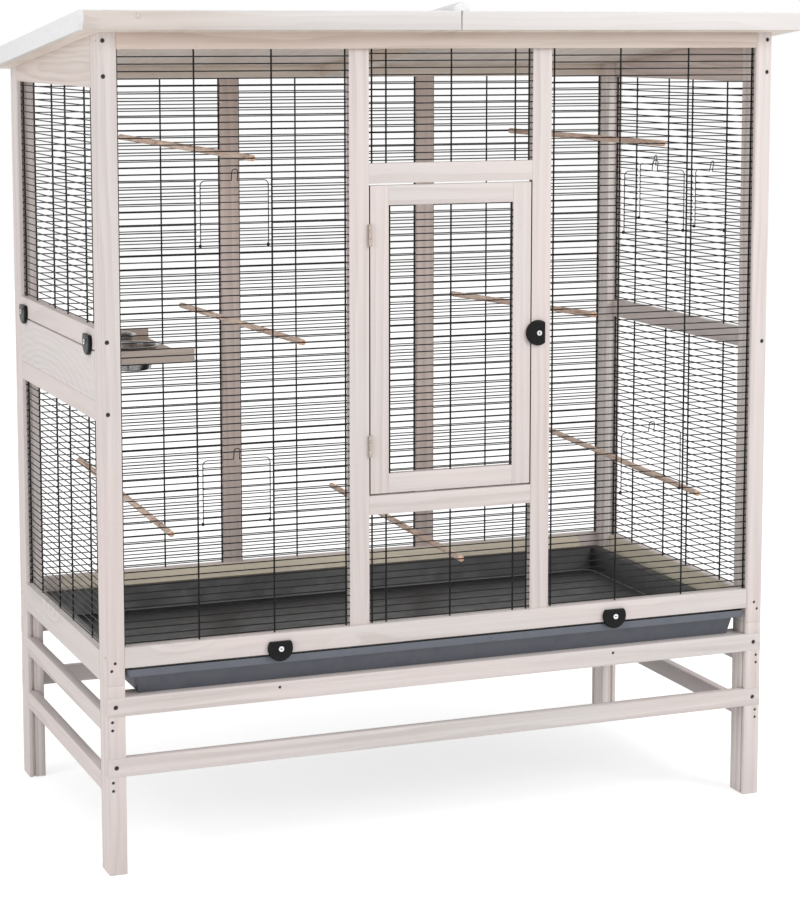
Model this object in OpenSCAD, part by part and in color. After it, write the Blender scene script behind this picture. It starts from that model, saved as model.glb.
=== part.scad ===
// Wooden bird cage on a low stand: timber frame, wire grilles, front door, slide-out tray,
// side feeder hatch with two bowls, wire feeder flaps and a roof in two halves.
// Millimetres. X runs left to right, Y front to back, Z up from the floor.
// Modules take Y from the front face of the posts; set_down() moves them to the part's origin.

/* [Cage] */
// Width over the corner posts
cage_w = 1240; // [1160:10:1340]
// Depth over the corner posts
cage_d = 640; // [600:10:720]
// Height of the front corner posts above the stand
cage_h = 1080; // [1060:2:1160]
// Width of a corner post or leg, seen from the front
post_w = 31; // [28:0.5:36]
// Depth of a corner post or leg, seen from the side
post_d = 50; // [44:1:60]
// Radius on the long edges of a post or leg
post_round = 2; // [1:0.5:3]
// Thickness of the side boards and side rails
board_t = 17; // [15:0.5:20]
// Thickness of the front and back rails
rail_t = 22; // [20:0.5:26]
// Width of the grooves that hold the grilles
groove_w = 5; // [4.5:0.25:6]
// Distance from a post's outer face to its groove
groove_in = 7.5; // [7:0.25:8.5]
// Depth of the grooves
groove_deep = 6; // [4:0.5:8]

/* [Stand] */
// Height of the stand, where the cage sits on it
stand_h = 326; // [300:2:380]
// Height of every stand rail
stand_rail_h = 32; // [28:1:36]
// Drop from the top of the stand to its upper front rail
stand_rail_drop = 21; // [18:1:26]
// Step from an upper stand rail to the lower one
stand_rail_step = 104; // [90:2:120]
// Thickness of the tongues that lap over the legs
tongue_t = 16; // [13:1:20]

/* [Front] */
// Height of the tray slot between the stand's top and the bottom rail
slot_h = 29; // [28.5:0.5:36]
// Height of the front bottom rail
bottom_rail_h = 35; // [32:1:45]
// Height of the front top rail at its front face
top_rail_h = 27; // [24:1:40]
// Width of a front middle post
mid_w = 36; // [30:1:44]
// Thickness of the front middle posts, the door and its surround
mid_t = 14; // [13:0.5:16]
// Set-back of the middle posts behind the corner posts' front
mid_in = 8; // [7.5:0.5:9]
// Clear width between the front middle posts
bay_w = 304; // [280:2:340]
// Offset of the door bay to the right of the middle
bay_off = 2; // [-6:1:6]
// Height of the door sill rail's underside above the stand
sill_up = 255; // [230:1:280]
// Height of the door sill rail
sill_h = 33; // [28:1:40]
// Height of the door head rail's underside above the stand
head_up = 826; // [790:1:850]
// Height of the door head rail
head_h = 34; // [28:1:40]

/* [Sides and back] */
// Height of the bottom boards at the sides and back
bottom_board_h = 51; // [45:1:60]
// Height of the gable boards at their low back end
gable_back_h = 27; // [20:1:60]
// Height of the hatch opening's lower edge above the stand
hatch_up = 474; // [440:1:500]
// Height of the hatch opening
hatch_h = 85; // [82:1:95]
// Height of the rail under the hatch
hatch_sill_h = 33; // [28:1:40]
// Height of the rail over the hatch
hatch_head_h = 36; // [30:1:44]
// Height of the right middle rail's underside above the stand
right_rail_up = 506; // [440:1:560]
// Height of the right middle rail
right_rail_h = 34; // [28:1:42]
// Width of a back middle post
back_mid_w = 35; // [30:1:44]
// Thickness of the back middle posts
back_mid_t = 20; // [16:1:22]
// Height of the back top rail at its back face
back_rail_h = 19; // [16:1:30]

/* [Roof] */
// Slope of the roof down to the back, in degrees
roof_slope = 6; // [4:0.25:6.5]
// Thickness of the roof, measured straight down
roof_t = 32; // [26:1:38]
// Overhang of the roof at each side
roof_side = 40; // [30:1:60]
// Overhang of the roof at the front
roof_front = 40; // [30:1:60]
// Gap between the two roof halves
roof_gap = 3; // [1:0.5:6]
// Width of the cover strip over the gap
strip_w = 29; // [24:1:40]
// Height of the cover strip's ridge
strip_h = 15; // [10:1:20]
// Width of the rafter under the gap
rafter_w = 36; // [30:1:44]
// Height of the rafter
rafter_h = 20; // [14:1:28]

/* [Wires] */
// Diameter of the grilles' row wires
wire_d = 2; // [1.6:0.1:2.2]
// Diameter of the grilles' uprights
upright_d = 3; // [2:0.1:3.2]
// Pitch of the horizontal wires
wire_pitch = 12; // [11:0.5:14]
// Height of the lowest wire above the rail under it
wire_first = 5; // [4:0.5:6]
// Distance of an end upright from a corner post
upright_in = 2.5; // [2:0.5:5]
// Distance of an end upright from a middle post
upright_mid = 6; // [4:0.5:8]
// Distance from the bay's middle to its side uprights, over and under the door
centre_step = 120; // [100:2:130]
// Width between the two uprights on each side of a feeder flap
flap_bay = 134; // [130:1:150]
// Distance between the inner uprights of the side grilles
side_mid = 96; // [80:1:110]

/* [Feeder flaps] */
// Width of a feeder flap
flap_w = 120; // [100:1:124]
// Height of a feeder flap, in wire pitches
flap_rows = 9; // [7:1:9]
// Diameter of the flap wire
flap_wire = 1.6; // [1.2:0.1:1.8]
// Outer radius of the flap's top corners
flap_round = 9; // [6:1:14]
// Height of the lower front flaps' hinges above the stand, moved to the nearest wire
flap_low = 261; // [200:1:300]
// Height of the upper front flaps' hinges above the stand, moved to the nearest wire
flap_high = 729; // [600:1:735]
// Height of the side flaps' hinges above the stand, moved to the nearest wire
flap_side = 713; // [650:1:780]
// Radius of the clip at the top of a flap
clip_r = 6; // [5:0.5:8]
// Height of the clip above the flap
clip_h = 20; // [17:1:24]
// Outward lean of the clip, in degrees
clip_lean = 12; // [10:1:20]

/* [Door] */
// Width of the door's stiles
stile_w = 34; // [28:1:40]
// Height of the door's rails
door_rail_h = 34; // [28:1:40]
// Gap at each side of the door
door_gap = 2; // [2:0.25:3]
// Gap above and below the door
door_gap_z = 3.5; // [2:0.5:5]
// Height of a hinge
hinge_h = 38; // [30:1:50]
// Distance from the door's edge to the middle of a hinge
hinge_in = 84; // [60:1:120]
// Outer radius of the hinge knuckles
knuckle_r = 2.8; // [2.5:0.1:3.4]
// Radius of the hinge pins
pin_r = 1.5; // [1.2:0.1:1.6]
// Depth of the hinge leaves in the gap beside the door
leaf_d = 12; // [8:1:13]

/* [Turn latches] */
// Radius of a turn latch
latch_r = 22.5; // [20:0.5:25]
// Distance from the latch's pivot to its flat edge
latch_flat = 12.5; // [11:0.5:13]
// Thickness of a turn latch
latch_t = 6.5; // [5:0.5:8]
// Bevel round a latch's edge
latch_bevel = 1.5; // [0.5:0.25:2]
// Clearance of a turned latch from the piece that it held
latch_clear = 1; // [0.5:0.25:2]
// Radius of a latch's screw
latch_screw_r = 2; // [1.5:0.25:2.5]
// Radius of a latch screw's head
latch_head_r = 4.6; // [4:0.2:6]
// Height of a latch screw's head
latch_head_h = 2.4; // [1.5:0.1:3]
// Distance of the tray latches from the middle, left and right
tray_latch_x = 317; // [260:1:360]
// Distance of the hatch latches from the front and the back
hatch_latch_y = 85; // [78:1:120]
// Height of the door latch above the stand
door_latch_up = 558; // [450:1:620]

/* [Tray] */
// Gap between the tray and the corner posts
tray_gap = 4; // [2:0.5:6]
// Height of the tray
tray_h = 46; // [40:1:47]
// Height of the tray's turned rim
tray_rim_h = 13; // [8:1:18]
// Width of the rim at the tray's sides
tray_rim_side = 15; // [12:1:18]
// Width of the rim at the tray's front and back
tray_rim_end = 10; // [8:1:12]
// How far the tray's sides lean in
tray_lean = 10; // [6:1:11]
// Thickness of the tray's sheet
tray_wall = 2; // [1.5:0.25:3]
// Set-back of the tray's rim behind the posts' front
tray_in = 1; // [0.5:0.5:3]
// Radius of the rim's corners
tray_round = 8; // [5:1:12]

/* [Hatch and bowls] */
// Depth of the feeder shelf, from the hatch into the cage
shelf_d = 190; // [150:2:220]
// Length of the feeder shelf along the hatch
shelf_l = 310; // [280:2:340]
// Height of the shelf's end rails
shelf_t = 24; // [18:1:26]
// Thickness of the shelf's end rails
shelf_rail_t = 17; // [12:1:20]
// Thickness of the board between the rails, which the bowls stand in
shelf_board_t = 7; // [6:0.5:12]
// Height of the rails' top above the hatch opening's lower edge
shelf_up = 65; // [56:1:68]
// Gap above the hatch
hatch_gap_top = 3; // [2.6:0.2:5]
// Radius of a bowl under its rim
bowl_r = 48; // [42:1:52]
// Radius of a bowl's floor
bowl_floor_r = 37; // [30:1:40]
// Height of a bowl
bowl_h = 43; // [38:1:48]
// Width of a bowl's rim
bowl_rim = 5; // [3:0.5:7]
// Thickness of a bowl's sheet
bowl_wall = 1.2; // [0.8:0.1:2]

/* [Perches and screws] */
// Diameter of the perches
perch_d = 11; // [8:0.5:14]
// How far a perch's end reaches past the wire in its slot
perch_out = 2; // [1:0.5:4]
// Radius of the screw heads in the posts
screw_r = 3.6; // [3:0.1:4.2]
// Radius of the small screws in the legs, in the rails and at the foot of the posts
small_screw_r = 2.5; // [2:0.1:3]
// Depth of the screw pockets
screw_deep = 3.5; // [3:0.25:5]
// Radius of the stand's bolt heads
bolt_r = 3.8; // [3.2:0.2:5]
// Distance from the post's side to the stand's bolts
bolt_in = 14.5; // [13:0.5:16]
// Distance from the middle to the spare screws in the upper stand rail
spare_screw_x = 317; // [260:1:360]

/* [Hidden] */
$fn = 48;
// Clearance between pieces that move past each other
fit = 0.3;
// Radial clearance of pins in their holes
run = 0.05;
// Clearance between crossing wires, so that each stays a solid of its own
weld = 0.02;
// Reach of a cutter past the face it cuts
past = 1;
// Clearance under the roof and its strip, so that no rounding of the slope makes them overlap
roof_seat = 0.05;
hinge_leaf_t = 0.8;
hinge_split = 0.4;
eye_extra = 0.2;
bead = 0.12;
pocket_gap = 0.2;
plug_r = 4;
plug_ring = 0.7;
plug_in = 57;
back_screw_up = 8;
screw_pair = 7;
top_screw_down = 11;
low_screw_up = 18.5;
strip_side = 8.25;
strip_ridge = 5.8;
strip_short = 3.75;
plug_up = 22.4;
spare_screw_drop = 9.6;
screw_slot = 1.2;
// Drop of the upper perches under the top of the front posts, and how far one end may hang lower
high_perch = 198;
perch_slope = 12;
// Perches, front end and back end: distance from the left side, and height above the stand,
// which is moved to the nearest wire
perches_at = [
    [[263, cage_h - high_perch - perch_slope], [206, cage_h - high_perch]],
    [[350, 560], [322, 558]],
    [[1028, cage_h - high_perch], [1011, cage_h - high_perch]],
    [[896, 584], [885, 561]],
    [[1108, 252], [1100, 273]],
    [[642, 168], [627, 186]],
    [[116, 252], [117, 272]]
];

left = -cage_w / 2;
inner_x = cage_w / 2 - post_w;
inner_y = cage_d - 2 * post_d;
bay_l = bay_off - bay_w / 2;
bay_r = bay_off + bay_w / 2;
bottom_rail_z = stand_h + slot_h;
front_low = bottom_rail_z + bottom_rail_h;
front_top = stand_h + cage_h - top_rail_h;
sill_z = stand_h + sill_up;
head_z = stand_h + head_up;
side_low = stand_h + bottom_board_h;
gable_z = roof_z(cage_d - post_d) - gable_back_h;
hatch_z = stand_h + hatch_up;
hatch_top = hatch_z + hatch_h;
right_rail_z = stand_h + right_rail_up;
back_top = roof_z(cage_d) - back_rail_h;
back_bay = (2 * inner_x - 2 * back_mid_w) / 3;
grille_in = groove_in + (groove_w - 2 * wire_d) / 2 + wire_d / 2;
wire_seat = groove_deep - past;
stand_up_z = stand_h - stand_rail_drop - stand_rail_h;
stand_low_z = stand_up_z - stand_rail_step;
flap_h = flap_rows * wire_pitch;
eye_wall = flap_wire + eye_extra;
flap_y = -(wire_d / 2 + run + eye_wall / 2);
left_uprights = bay_uprights(-inner_x + upright_in, bay_l - mid_w - upright_mid);
right_uprights = bay_uprights(bay_r + mid_w + upright_mid, inner_x - upright_in);
left_flap_x = (left_uprights[1] + left_uprights[2]) / 2;
right_flap_x = (right_uprights[1] + right_uprights[2]) / 2;
front_low_flap_z = near_row(front_low, flap_low);
front_high_flap_z = near_row(front_low, flap_high);
side_flap_z = near_row(right_rail_z + right_rail_h, flap_side);
side_flap_y = (side_mid + flap_bay) / 2;
door_l = bay_l + door_gap;
door_r = bay_r - door_gap;
door_z0 = sill_z + sill_h + door_gap_z;
door_z1 = head_z - door_gap_z;
hinge_x = bay_l + door_gap / 2;
hinge_y = mid_in - knuckle_r - fit;
tray_x = inner_x - tray_gap;
tray_z = stand_up_z + stand_rail_h + fit;
door_latch_x = door_r + latch_flat + latch_clear;
door_latch_z = stand_h + door_latch_up;
tray_latch_z = tray_z + tray_h + latch_flat + latch_clear;
hatch_latch_z = hatch_top - hatch_gap_top + latch_flat + latch_clear;
tray_back = cage_d - rail_t - tray_in;
bowl_x = left + board_t + shelf_d / 2;
bowl_z = hatch_z + shelf_up + fit;

// Height of the roof's underside at a depth behind the posts' front
function roof_z(y) = stand_h + cage_h - y * tan(roof_slope);
// Heights of the horizontal wires between two rails
function wire_rows(z0, z1) = [for (z = [z0 + wire_first : wire_pitch : z1 - wire_first]) z];
// Height of the wire over the rail at z0 that is nearest to a height above the stand
function near_row(z0, up) = z0 + wire_first
    + wire_pitch * round((stand_h + up - z0 - wire_first) / wire_pitch);
// Four uprights that leave a flap bay in the middle
function bay_uprights(u0, u1) = [u0, (u0 + u1 - flap_bay) / 2, (u0 + u1 + flap_bay) / 2, u1];
// Screws of a corner post into the side's upper pieces: distance from its side, height
function post_screws(right, back) = concat(
    back ? [[board_t / 2, gable_z + back_screw_up]]
        : [[board_t / 2, roof_z(board_t) - top_screw_down], [board_t / 2, gable_z + low_screw_up]],
    right ? [[board_t / 2, right_rail_z + right_rail_h / 2]]
        : [[board_t / 2, hatch_z - hatch_sill_h / 2], [board_t / 2, hatch_top + hatch_head_h / 2]]);
// Small screws of a corner post into the bottom board
foot_screws = [[bolt_in, side_low - bottom_board_h / 4],
    [board_t / 2, stand_h + bottom_board_h / 2]];
// Screws of a leg into the side rails, in pairs
leg_screws = [for (z = [stand_up_z, stand_low_z], s = [-1, 1])
    [board_t / 2, z - stand_rail_h / 2 + s * screw_pair]];
leg_bolts = [for (z = [stand_up_z, stand_low_z]) [bolt_in, z + stand_rail_h / 2]];

// Moves a piece from the posts' front to the part's origin, which is under the middle of the roof
module set_down() translate([0, -(cage_d + roof_front) / 2 + roof_front, 0]) children();
module mirror_x(yes) mirror([yes ? 1 : 0, 0, 0]) children();
module mirror_y(yes) translate([0, yes ? cage_d : 0, 0]) mirror([0, yes ? 1 : 0, 0]) children();
// A side view, Y across and Z up, extruded from x0 to x1
module side_view(x0, x1) translate([x0, 0, 0]) rotate([90, 0, 90])
    linear_extrude(height = x1 - x0) children();
module box(p, q) translate(p) cube(q - p);
// Turns what is drawn on the cage's front onto its right side, for side flaps and grilles
module on_right_side() translate([cage_w / 2, 0, 0]) rotate([0, 0, 90]) children();
module on_left_side() mirror([1, 0, 0]) on_right_side() children();

// Everything above the roof's underside, for cutting tops to the slope
module above_roof() side_view(left - past, -left + past)
    polygon([[-past, roof_z(-past)], [cage_d + past, roof_z(cage_d + past)],
        [cage_d + past, roof_z(-past) + post_d], [-past, roof_z(-past) + post_d]]);

// Section of a post or leg at the front left, with its two grooves
module post_section() difference() {
    translate([left, 0]) {
        translate([post_round, 0]) square([post_w - 2 * post_round, post_d]);
        translate([0, post_round]) square([post_w, post_d - 2 * post_round]);
        for (x = [post_round, post_w - post_round], y = [post_round, post_d - post_round])
            translate([x, y]) circle(post_round);
    }
    translate([left + post_w - groove_deep, groove_in]) square([groove_deep + past, groove_w]);
    translate([left + groove_in, post_d - groove_deep]) square([groove_w, groove_deep + past]);
}

// Places its children at a list of [distance from the left side, height] on the front face
module at_screws(list) for (s = list) translate([left + s[0], 0, s[1]]) rotate([-90, 0, 0])
    children();
module screw_pocket(r) translate([0, 0, -past]) cylinder(r = r + pocket_gap, h = screw_deep + past);
// Screw head on the floor of its pocket, with a hexagon socket
module screw_head(r) difference() {
    translate([0, 0, screw_deep - r / 2]) cylinder(r = r, h = r / 2);
    translate([0, 0, screw_deep - r / 2 - past]) cylinder(r = r / 2, h = r / 4 + past, $fn = 6);
}
// Places its children where a nail goes through the left side into a front or back rail
module at_side_nails(back) for (z = back
    ? [stand_h + bottom_board_h / 2, back_top + back_rail_h / 2]
    : [bottom_rail_z + bottom_rail_h / 2, front_top + top_rail_h / 2])
        translate([left, rail_t / 2, z]) rotate([0, 90, 0]) children();

module leg(right, back) color("#ddd3cc") set_down() mirror_y(back) mirror_x(right) difference() {
    linear_extrude(height = stand_h) post_section();
    for (z = [stand_up_z, stand_low_z])
        box([left - past, -past, z], [left + post_w + past, tongue_t, z + stand_rail_h]);
    at_screws(leg_screws) screw_pocket(small_screw_r);
}

module post(right, back) color("#ddd3cc") set_down() difference() {
    mirror_y(back) mirror_x(right) difference() {
        translate([0, 0, stand_h]) linear_extrude(height = cage_h + past) post_section();
        at_screws(post_screws(right, back)) screw_pocket(screw_r);
        at_screws(foot_screws) screw_pocket(small_screw_r);
        at_side_nails(back) screw_pocket(small_screw_r);
    }
    above_roof();
}

// Stand rail across the front, with a tongue over each leg
module stand_front_rail(z, depth) difference() {
    union() {
        box([-inner_x, 0, z], [inner_x, depth, z + stand_rail_h]);
        box([left, 0, z], [-left, tongue_t, z + stand_rail_h]);
    }
    for (right = [false, true]) mirror_x(right) at_screws(leg_bolts) screw_pocket(bolt_r);
}
module spare_screws() for (right = [false, true]) mirror_x(right)
    translate([-spare_screw_x, 0, stand_up_z + stand_rail_h - spare_screw_drop])
        rotate([-90, 0, 0]) children();
module stand_rail_front_upper() color("#e2d8cb") set_down() difference() {
    stand_front_rail(stand_up_z, post_d);
    spare_screws() screw_pocket(small_screw_r);
}
module stand_rail_front_lower() color("#e2d8cb") set_down()
    stand_front_rail(stand_low_z, tongue_t);
module stand_rails_back() color("#e2d8cb") set_down()
    for (z = [stand_up_z, stand_low_z]) mirror_y(true) stand_front_rail(z);
module stand_rails_side() color("#ddd3cc") set_down()
    for (right = [false, true], z = [stand_up_z, stand_low_z]) mirror_x(right)
        box([left, post_d, z - stand_rail_h], [left + board_t, cage_d - post_d, z]);

module front_bottom_rail() color("#e2d8cb") set_down()
    box([-inner_x, 0, bottom_rail_z], [inner_x, rail_t, front_low]);
module front_top_rail() color("#ddd3cc") set_down() side_view(-inner_x, inner_x)
    polygon([[0, front_top], [rail_t, front_top], [rail_t, roof_z(rail_t)], [0, roof_z(0)]]);
module front_mid_posts() color("#ddd3cc") set_down()
    for (x = [bay_l - mid_w, bay_r])
        box([x, mid_in, front_low], [x + mid_w, mid_in + mid_t, front_top]);
module door_surround_rails() color("#e2d8cb") set_down() {
    box([bay_l, mid_in, sill_z], [bay_r, mid_in + mid_t, sill_z + sill_h]);
    box([bay_l, mid_in, head_z], [bay_r, mid_in + mid_t, head_z + head_h]);
}

module back_bottom_board() color("#d8cdc4") set_down()
    box([-inner_x, cage_d - rail_t, stand_h], [inner_x, cage_d, side_low]);
module back_mid_posts() color("#d8cdc4") set_down()
    for (x = [-inner_x + back_bay, inner_x - back_bay - back_mid_w])
        box([x, cage_d - back_mid_t, side_low], [x + back_mid_w, cage_d, back_top]);
module back_top_rail() color("#d8cdc4") set_down() side_view(-inner_x, inner_x)
    polygon([[cage_d - rail_t, back_top], [cage_d, back_top],
        [cage_d, roof_z(cage_d)], [cage_d - rail_t, roof_z(cage_d - rail_t)]]);

// Board or rail in a side wall, flush with the posts' outer faces
module side_rail(right, z0, z1) mirror_x(right)
    box([left, post_d, z0], [left + board_t, cage_d - post_d, z1]);
module side_bottom_boards() color("#ddd3cc") set_down()
    for (right = [false, true]) side_rail(right, stand_h, side_low);
module gable_boards() color("#ddd3cc") set_down() for (right = [false, true]) mirror_x(right)
    side_view(left, left + board_t) polygon([[post_d, gable_z], [cage_d - post_d, gable_z],
        [cage_d - post_d, roof_z(cage_d - post_d)], [post_d, roof_z(post_d)]]);
// Rails under and over the hatch, and the right wall's one middle rail
module side_mid_rails() color("#ddd3cc") set_down() {
    side_rail(false, hatch_z - hatch_sill_h, hatch_z);
    side_rail(false, hatch_top, hatch_top + hatch_head_h);
    side_rail(true, right_rail_z, right_rail_z + right_rail_h);
}

// Sloping slab under or over the roof's underside, seen from the side
module sloping_slab(y0, y1, z_off, t) polygon([[y0, roof_z(y0) + z_off], [y1, roof_z(y1) + z_off],
    [y1, roof_z(y1) + z_off + t], [y0, roof_z(y0) + z_off + t]]);
module roof_rafter() color("#d8cdc4") set_down() side_view(-rafter_w / 2, rafter_w / 2)
    sloping_slab(rail_t, cage_d - rail_t, -rafter_h, rafter_h);
module roof_half() side_view(left - roof_side, -roof_gap / 2)
    sloping_slab(-roof_front, cage_d, roof_seat, roof_t);
// The left half has a plugged screw in its front edge, with a fine ring round the plug
module roof_left() color("#ebebeb") set_down() difference() {
    roof_half();
    translate([left + plug_in, -roof_front - past, roof_z(-roof_front) + plug_up])
        rotate([-90, 0, 0]) difference() {
            cylinder(r = plug_r + plug_ring, h = past + plug_ring);
            cylinder(r = plug_r, h = 2 * past + plug_ring);
        }
}
module roof_right() color("#ebebeb") set_down() mirror_x(true) roof_half();
// Ridged strip that covers the gap between the roof halves
module roof_strip() color("#e6e6e4") set_down()
    translate([0, -roof_front, roof_z(-roof_front) + roof_t + 2 * roof_seat])
        rotate([90 + roof_slope, 0, 180])
        linear_extrude(height = (cage_d + roof_front) / cos(roof_slope) - strip_short)
            polygon([[-strip_w / 2, 0], [strip_w / 2, 0], [strip_w / 2, strip_side],
                [strip_ridge / 2, strip_h], [-strip_ridge / 2, strip_h],
                [-strip_w / 2, strip_side]]);

module wire(p, q, d = wire_d) {
    along = q - p;
    turn = along[0] > 0 ? [0, 90, 0] : along[1] > 0 ? [-90, 0, 0] : [0, 0, 0];
    translate(p) rotate(turn) cylinder(d = d, h = norm(along));
}
// Grille from u0 to u1, drawn on the front: rows outside, uprights behind them. Each cut is
// [middle, hinge height] of a feeder flap, where the rows stop at the uprights beside it.
module grille(u0, u1, z0, z1, uprights, seat0 = 0, seat1 = 0, cuts = []) {
    edge = flap_bay / 2 - upright_d / 2;
    for (z = wire_rows(z0, z1)) {
        hit = [for (c = cuts) if (z > c[1] + past && z < c[1] + flap_h + wire_pitch - past) c[0]];
        ends = concat([u0 - seat0], [for (u = hit) each [u - edge, u + edge]], [u1 + seat1]);
        for (i = [0 : 2 : len(ends) - 1])
            wire([ends[i], grille_in, z], [ends[i + 1], grille_in, z]);
    }
    behind = grille_in + wire_d / 2 + weld + upright_d / 2;
    for (u = uprights) wire([u, behind, z0], [u, behind, z1], upright_d);
}
function flap_cuts(u) = [[u, front_low_flap_z], [u, front_high_flap_z]];
// Uprights of a side grille: the end ones, and two pairs a flap bay apart
function side_uprights() = [for (s = [-1, 1],
    u = [side_mid / 2, side_mid / 2 + flap_bay, inner_y / 2 - upright_in]) cage_d / 2 + s * u];
module side_grille(z0, z1, cuts = []) grille(post_d, cage_d - post_d, z0, z1,
    side_uprights(), wire_seat, wire_seat, cuts);
// Uprights of the grilles over and under the door
centre_uprights = [bay_l + upright_mid, bay_off - centre_step, bay_off, bay_off + centre_step,
    bay_r - upright_mid];

module grille_front_left() color("#2a2a2c") set_down()
    grille(-inner_x, bay_l - mid_w, front_low, front_top, left_uprights, wire_seat, 0,
        flap_cuts(left_flap_x));
module grille_front_right() color("#2a2a2c") set_down()
    grille(bay_r + mid_w, inner_x, front_low, front_top, right_uprights, 0, wire_seat,
        flap_cuts(right_flap_x));
module grille_over_door() color("#2a2a2c") set_down()
    grille(bay_l, bay_r, head_z + head_h, front_top, centre_uprights);
module grille_under_door() color("#2a2a2c") set_down()
    grille(bay_l, bay_r, front_low, sill_z, centre_uprights);
module grille_left_upper() color("#2a2a2c") set_down()
    on_left_side() side_grille(hatch_top + hatch_head_h, gable_z);
module grille_left_lower() color("#2a2a2c") set_down()
    on_left_side() side_grille(side_low, hatch_z - hatch_sill_h);
module grille_right_upper() color("#2a2a2c") set_down()
    on_right_side() side_grille(right_rail_z + right_rail_h, gable_z,
        [for (s = [-1, 1]) [cage_d / 2 + s * side_flap_y, side_flap_z]]);
module grille_right_lower() color("#2a2a2c") set_down()
    on_right_side() side_grille(side_low, right_rail_z);
module grilles_back() color("#2a2a2c") set_down() mirror_y(true) for (i = [0 : 2]) {
    u0 = -inner_x + i * (back_bay + back_mid_w);
    u1 = u0 + back_bay;
    grille(u0, u1, side_low, back_top, bay_uprights(u0 + upright_in, u1 - upright_in),
        i == 0 ? wire_seat : 0, i == 2 ? wire_seat : 0);
}

// Round rods from front to back, with a slot in each end that sits on a row wire
module perches() color("#c9a98c") set_down() {
    y0 = grille_in - wire_d / 2 - perch_out;
    y1 = cage_d - y0;
    slot = wire_d / 2 + fit;
    for (p = perches_at) {
        a = [left + p[0][0], y0, near_row(front_low, p[0][1])];
        b = [left + p[1][0], y1, near_row(side_low, p[1][1])];
        run_xy = norm([b[0] - a[0], y1 - y0]);
        difference() {
            translate(a) rotate([-90 + atan2(b[2] - a[2], run_xy), 0, -atan2(b[0] - a[0], y1 - y0)])
                translate([0, 0, -perch_d]) cylinder(d = perch_d, h = norm(b - a) + 2 * perch_d);
            for (back = [false, true]) mirror_y(back) {
                z = back ? b[2] : a[2];
                box([left, y0 - 2 * perch_d, stand_h], [-left, y0, stand_h + cage_h]);
                box([left, y0 - past, z - slot], [-left, grille_in + slot, z + slot]);
            }
        }
    }
}

module cage_screws() color("#77787a") set_down() {
    for (right = [false, true], back = [false, true]) mirror_y(back) mirror_x(right) {
        at_screws(post_screws(right, back)) screw_head(screw_r);
        at_screws(foot_screws) screw_head(small_screw_r);
        at_side_nails(back) screw_head(small_screw_r);
    }
}
module stand_bolts() color("#77787a") set_down() {
    for (right = [false, true], back = [false, true]) mirror_y(back) mirror_x(right) {
        at_screws(leg_bolts) screw_head(bolt_r);
        at_screws(leg_screws) screw_head(small_screw_r);
    }
    spare_screws() screw_head(small_screw_r);
}

// Butt hinge on its own axis, Z up. The post's half holds the pin and the end knuckles.
module hinge_leaf(side, z0, z1, y0) {
    inner = side > 0 ? door_gap / 2 - run - hinge_leaf_t : -door_gap / 2 + run;
    box([inner, y0, z0], [inner + hinge_leaf_t, knuckle_r + fit + leaf_d, z1]);
}
module hinge_post_half() {
    third = hinge_h / 3;
    for (z = [-hinge_h / 2, hinge_h / 2 - third]) {
        translate([0, 0, z]) cylinder(r = knuckle_r, h = third);
        hinge_leaf(-1, z, z + third, pin_r);
    }
    translate([0, 0, -hinge_h / 2]) cylinder(r = pin_r, h = hinge_h);
    hinge_leaf(-1, -hinge_h / 2, hinge_h / 2, knuckle_r + fit);
}
module hinge_door_half() {
    z = hinge_h / 6 - hinge_split;
    difference() {
        union() {
            translate([0, 0, -z]) cylinder(r = knuckle_r, h = 2 * z);
            hinge_leaf(1, -z, z, pin_r);
            hinge_leaf(1, -hinge_h / 2, hinge_h / 2, knuckle_r + fit);
        }
        translate([0, 0, -hinge_h]) cylinder(r = pin_r + run, h = 2 * hinge_h);
    }
}
module at_hinges() for (z = [door_z0 + hinge_in, door_z1 - hinge_in])
    translate([hinge_x, hinge_y, z]) children();
module hinge_leaves_post() color("#cfcfcc") set_down() at_hinges() hinge_post_half();
module hinge_leaves_door() color("#cfcfcc") set_down() at_hinges() hinge_door_half();

module door_stiles() color("#ddd3cc") set_down() for (x = [door_l, door_r - stile_w])
    box([x, mid_in, door_z0], [x + stile_w, mid_in + mid_t, door_z1]);
module door_rails() color("#e2d8cb") set_down() for (z = [door_z0, door_z1 - door_rail_h])
    box([door_l + stile_w, mid_in, z], [door_r - stile_w, mid_in + mid_t, z + door_rail_h]);
module door_grille() color("#2a2a2c") set_down()
    grille(door_l + stile_w, door_r - stile_w, door_z0 + door_rail_h, door_z1 - door_rail_h,
        [door_l + stile_w + upright_in, bay_off, door_r - stile_w - upright_in]);

// Turn latch on the front face Y = 0, flat edge up, pivot on the Y axis
module turn_latch() translate([0, -fit, 0]) rotate([90, 0, 0]) difference() {
    union() {
        cylinder(r = latch_r, h = latch_t - latch_bevel);
        translate([0, 0, latch_t - latch_bevel])
            cylinder(r1 = latch_r, r2 = latch_r - latch_bevel, h = latch_bevel);
    }
    translate([-latch_r - past, latch_flat, -past])
        cube([2 * latch_r + 2 * past, latch_r, latch_t + 2 * past]);
    translate([0, 0, -past]) cylinder(r = latch_screw_r + run, h = latch_t + 2 * past);
}
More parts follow.
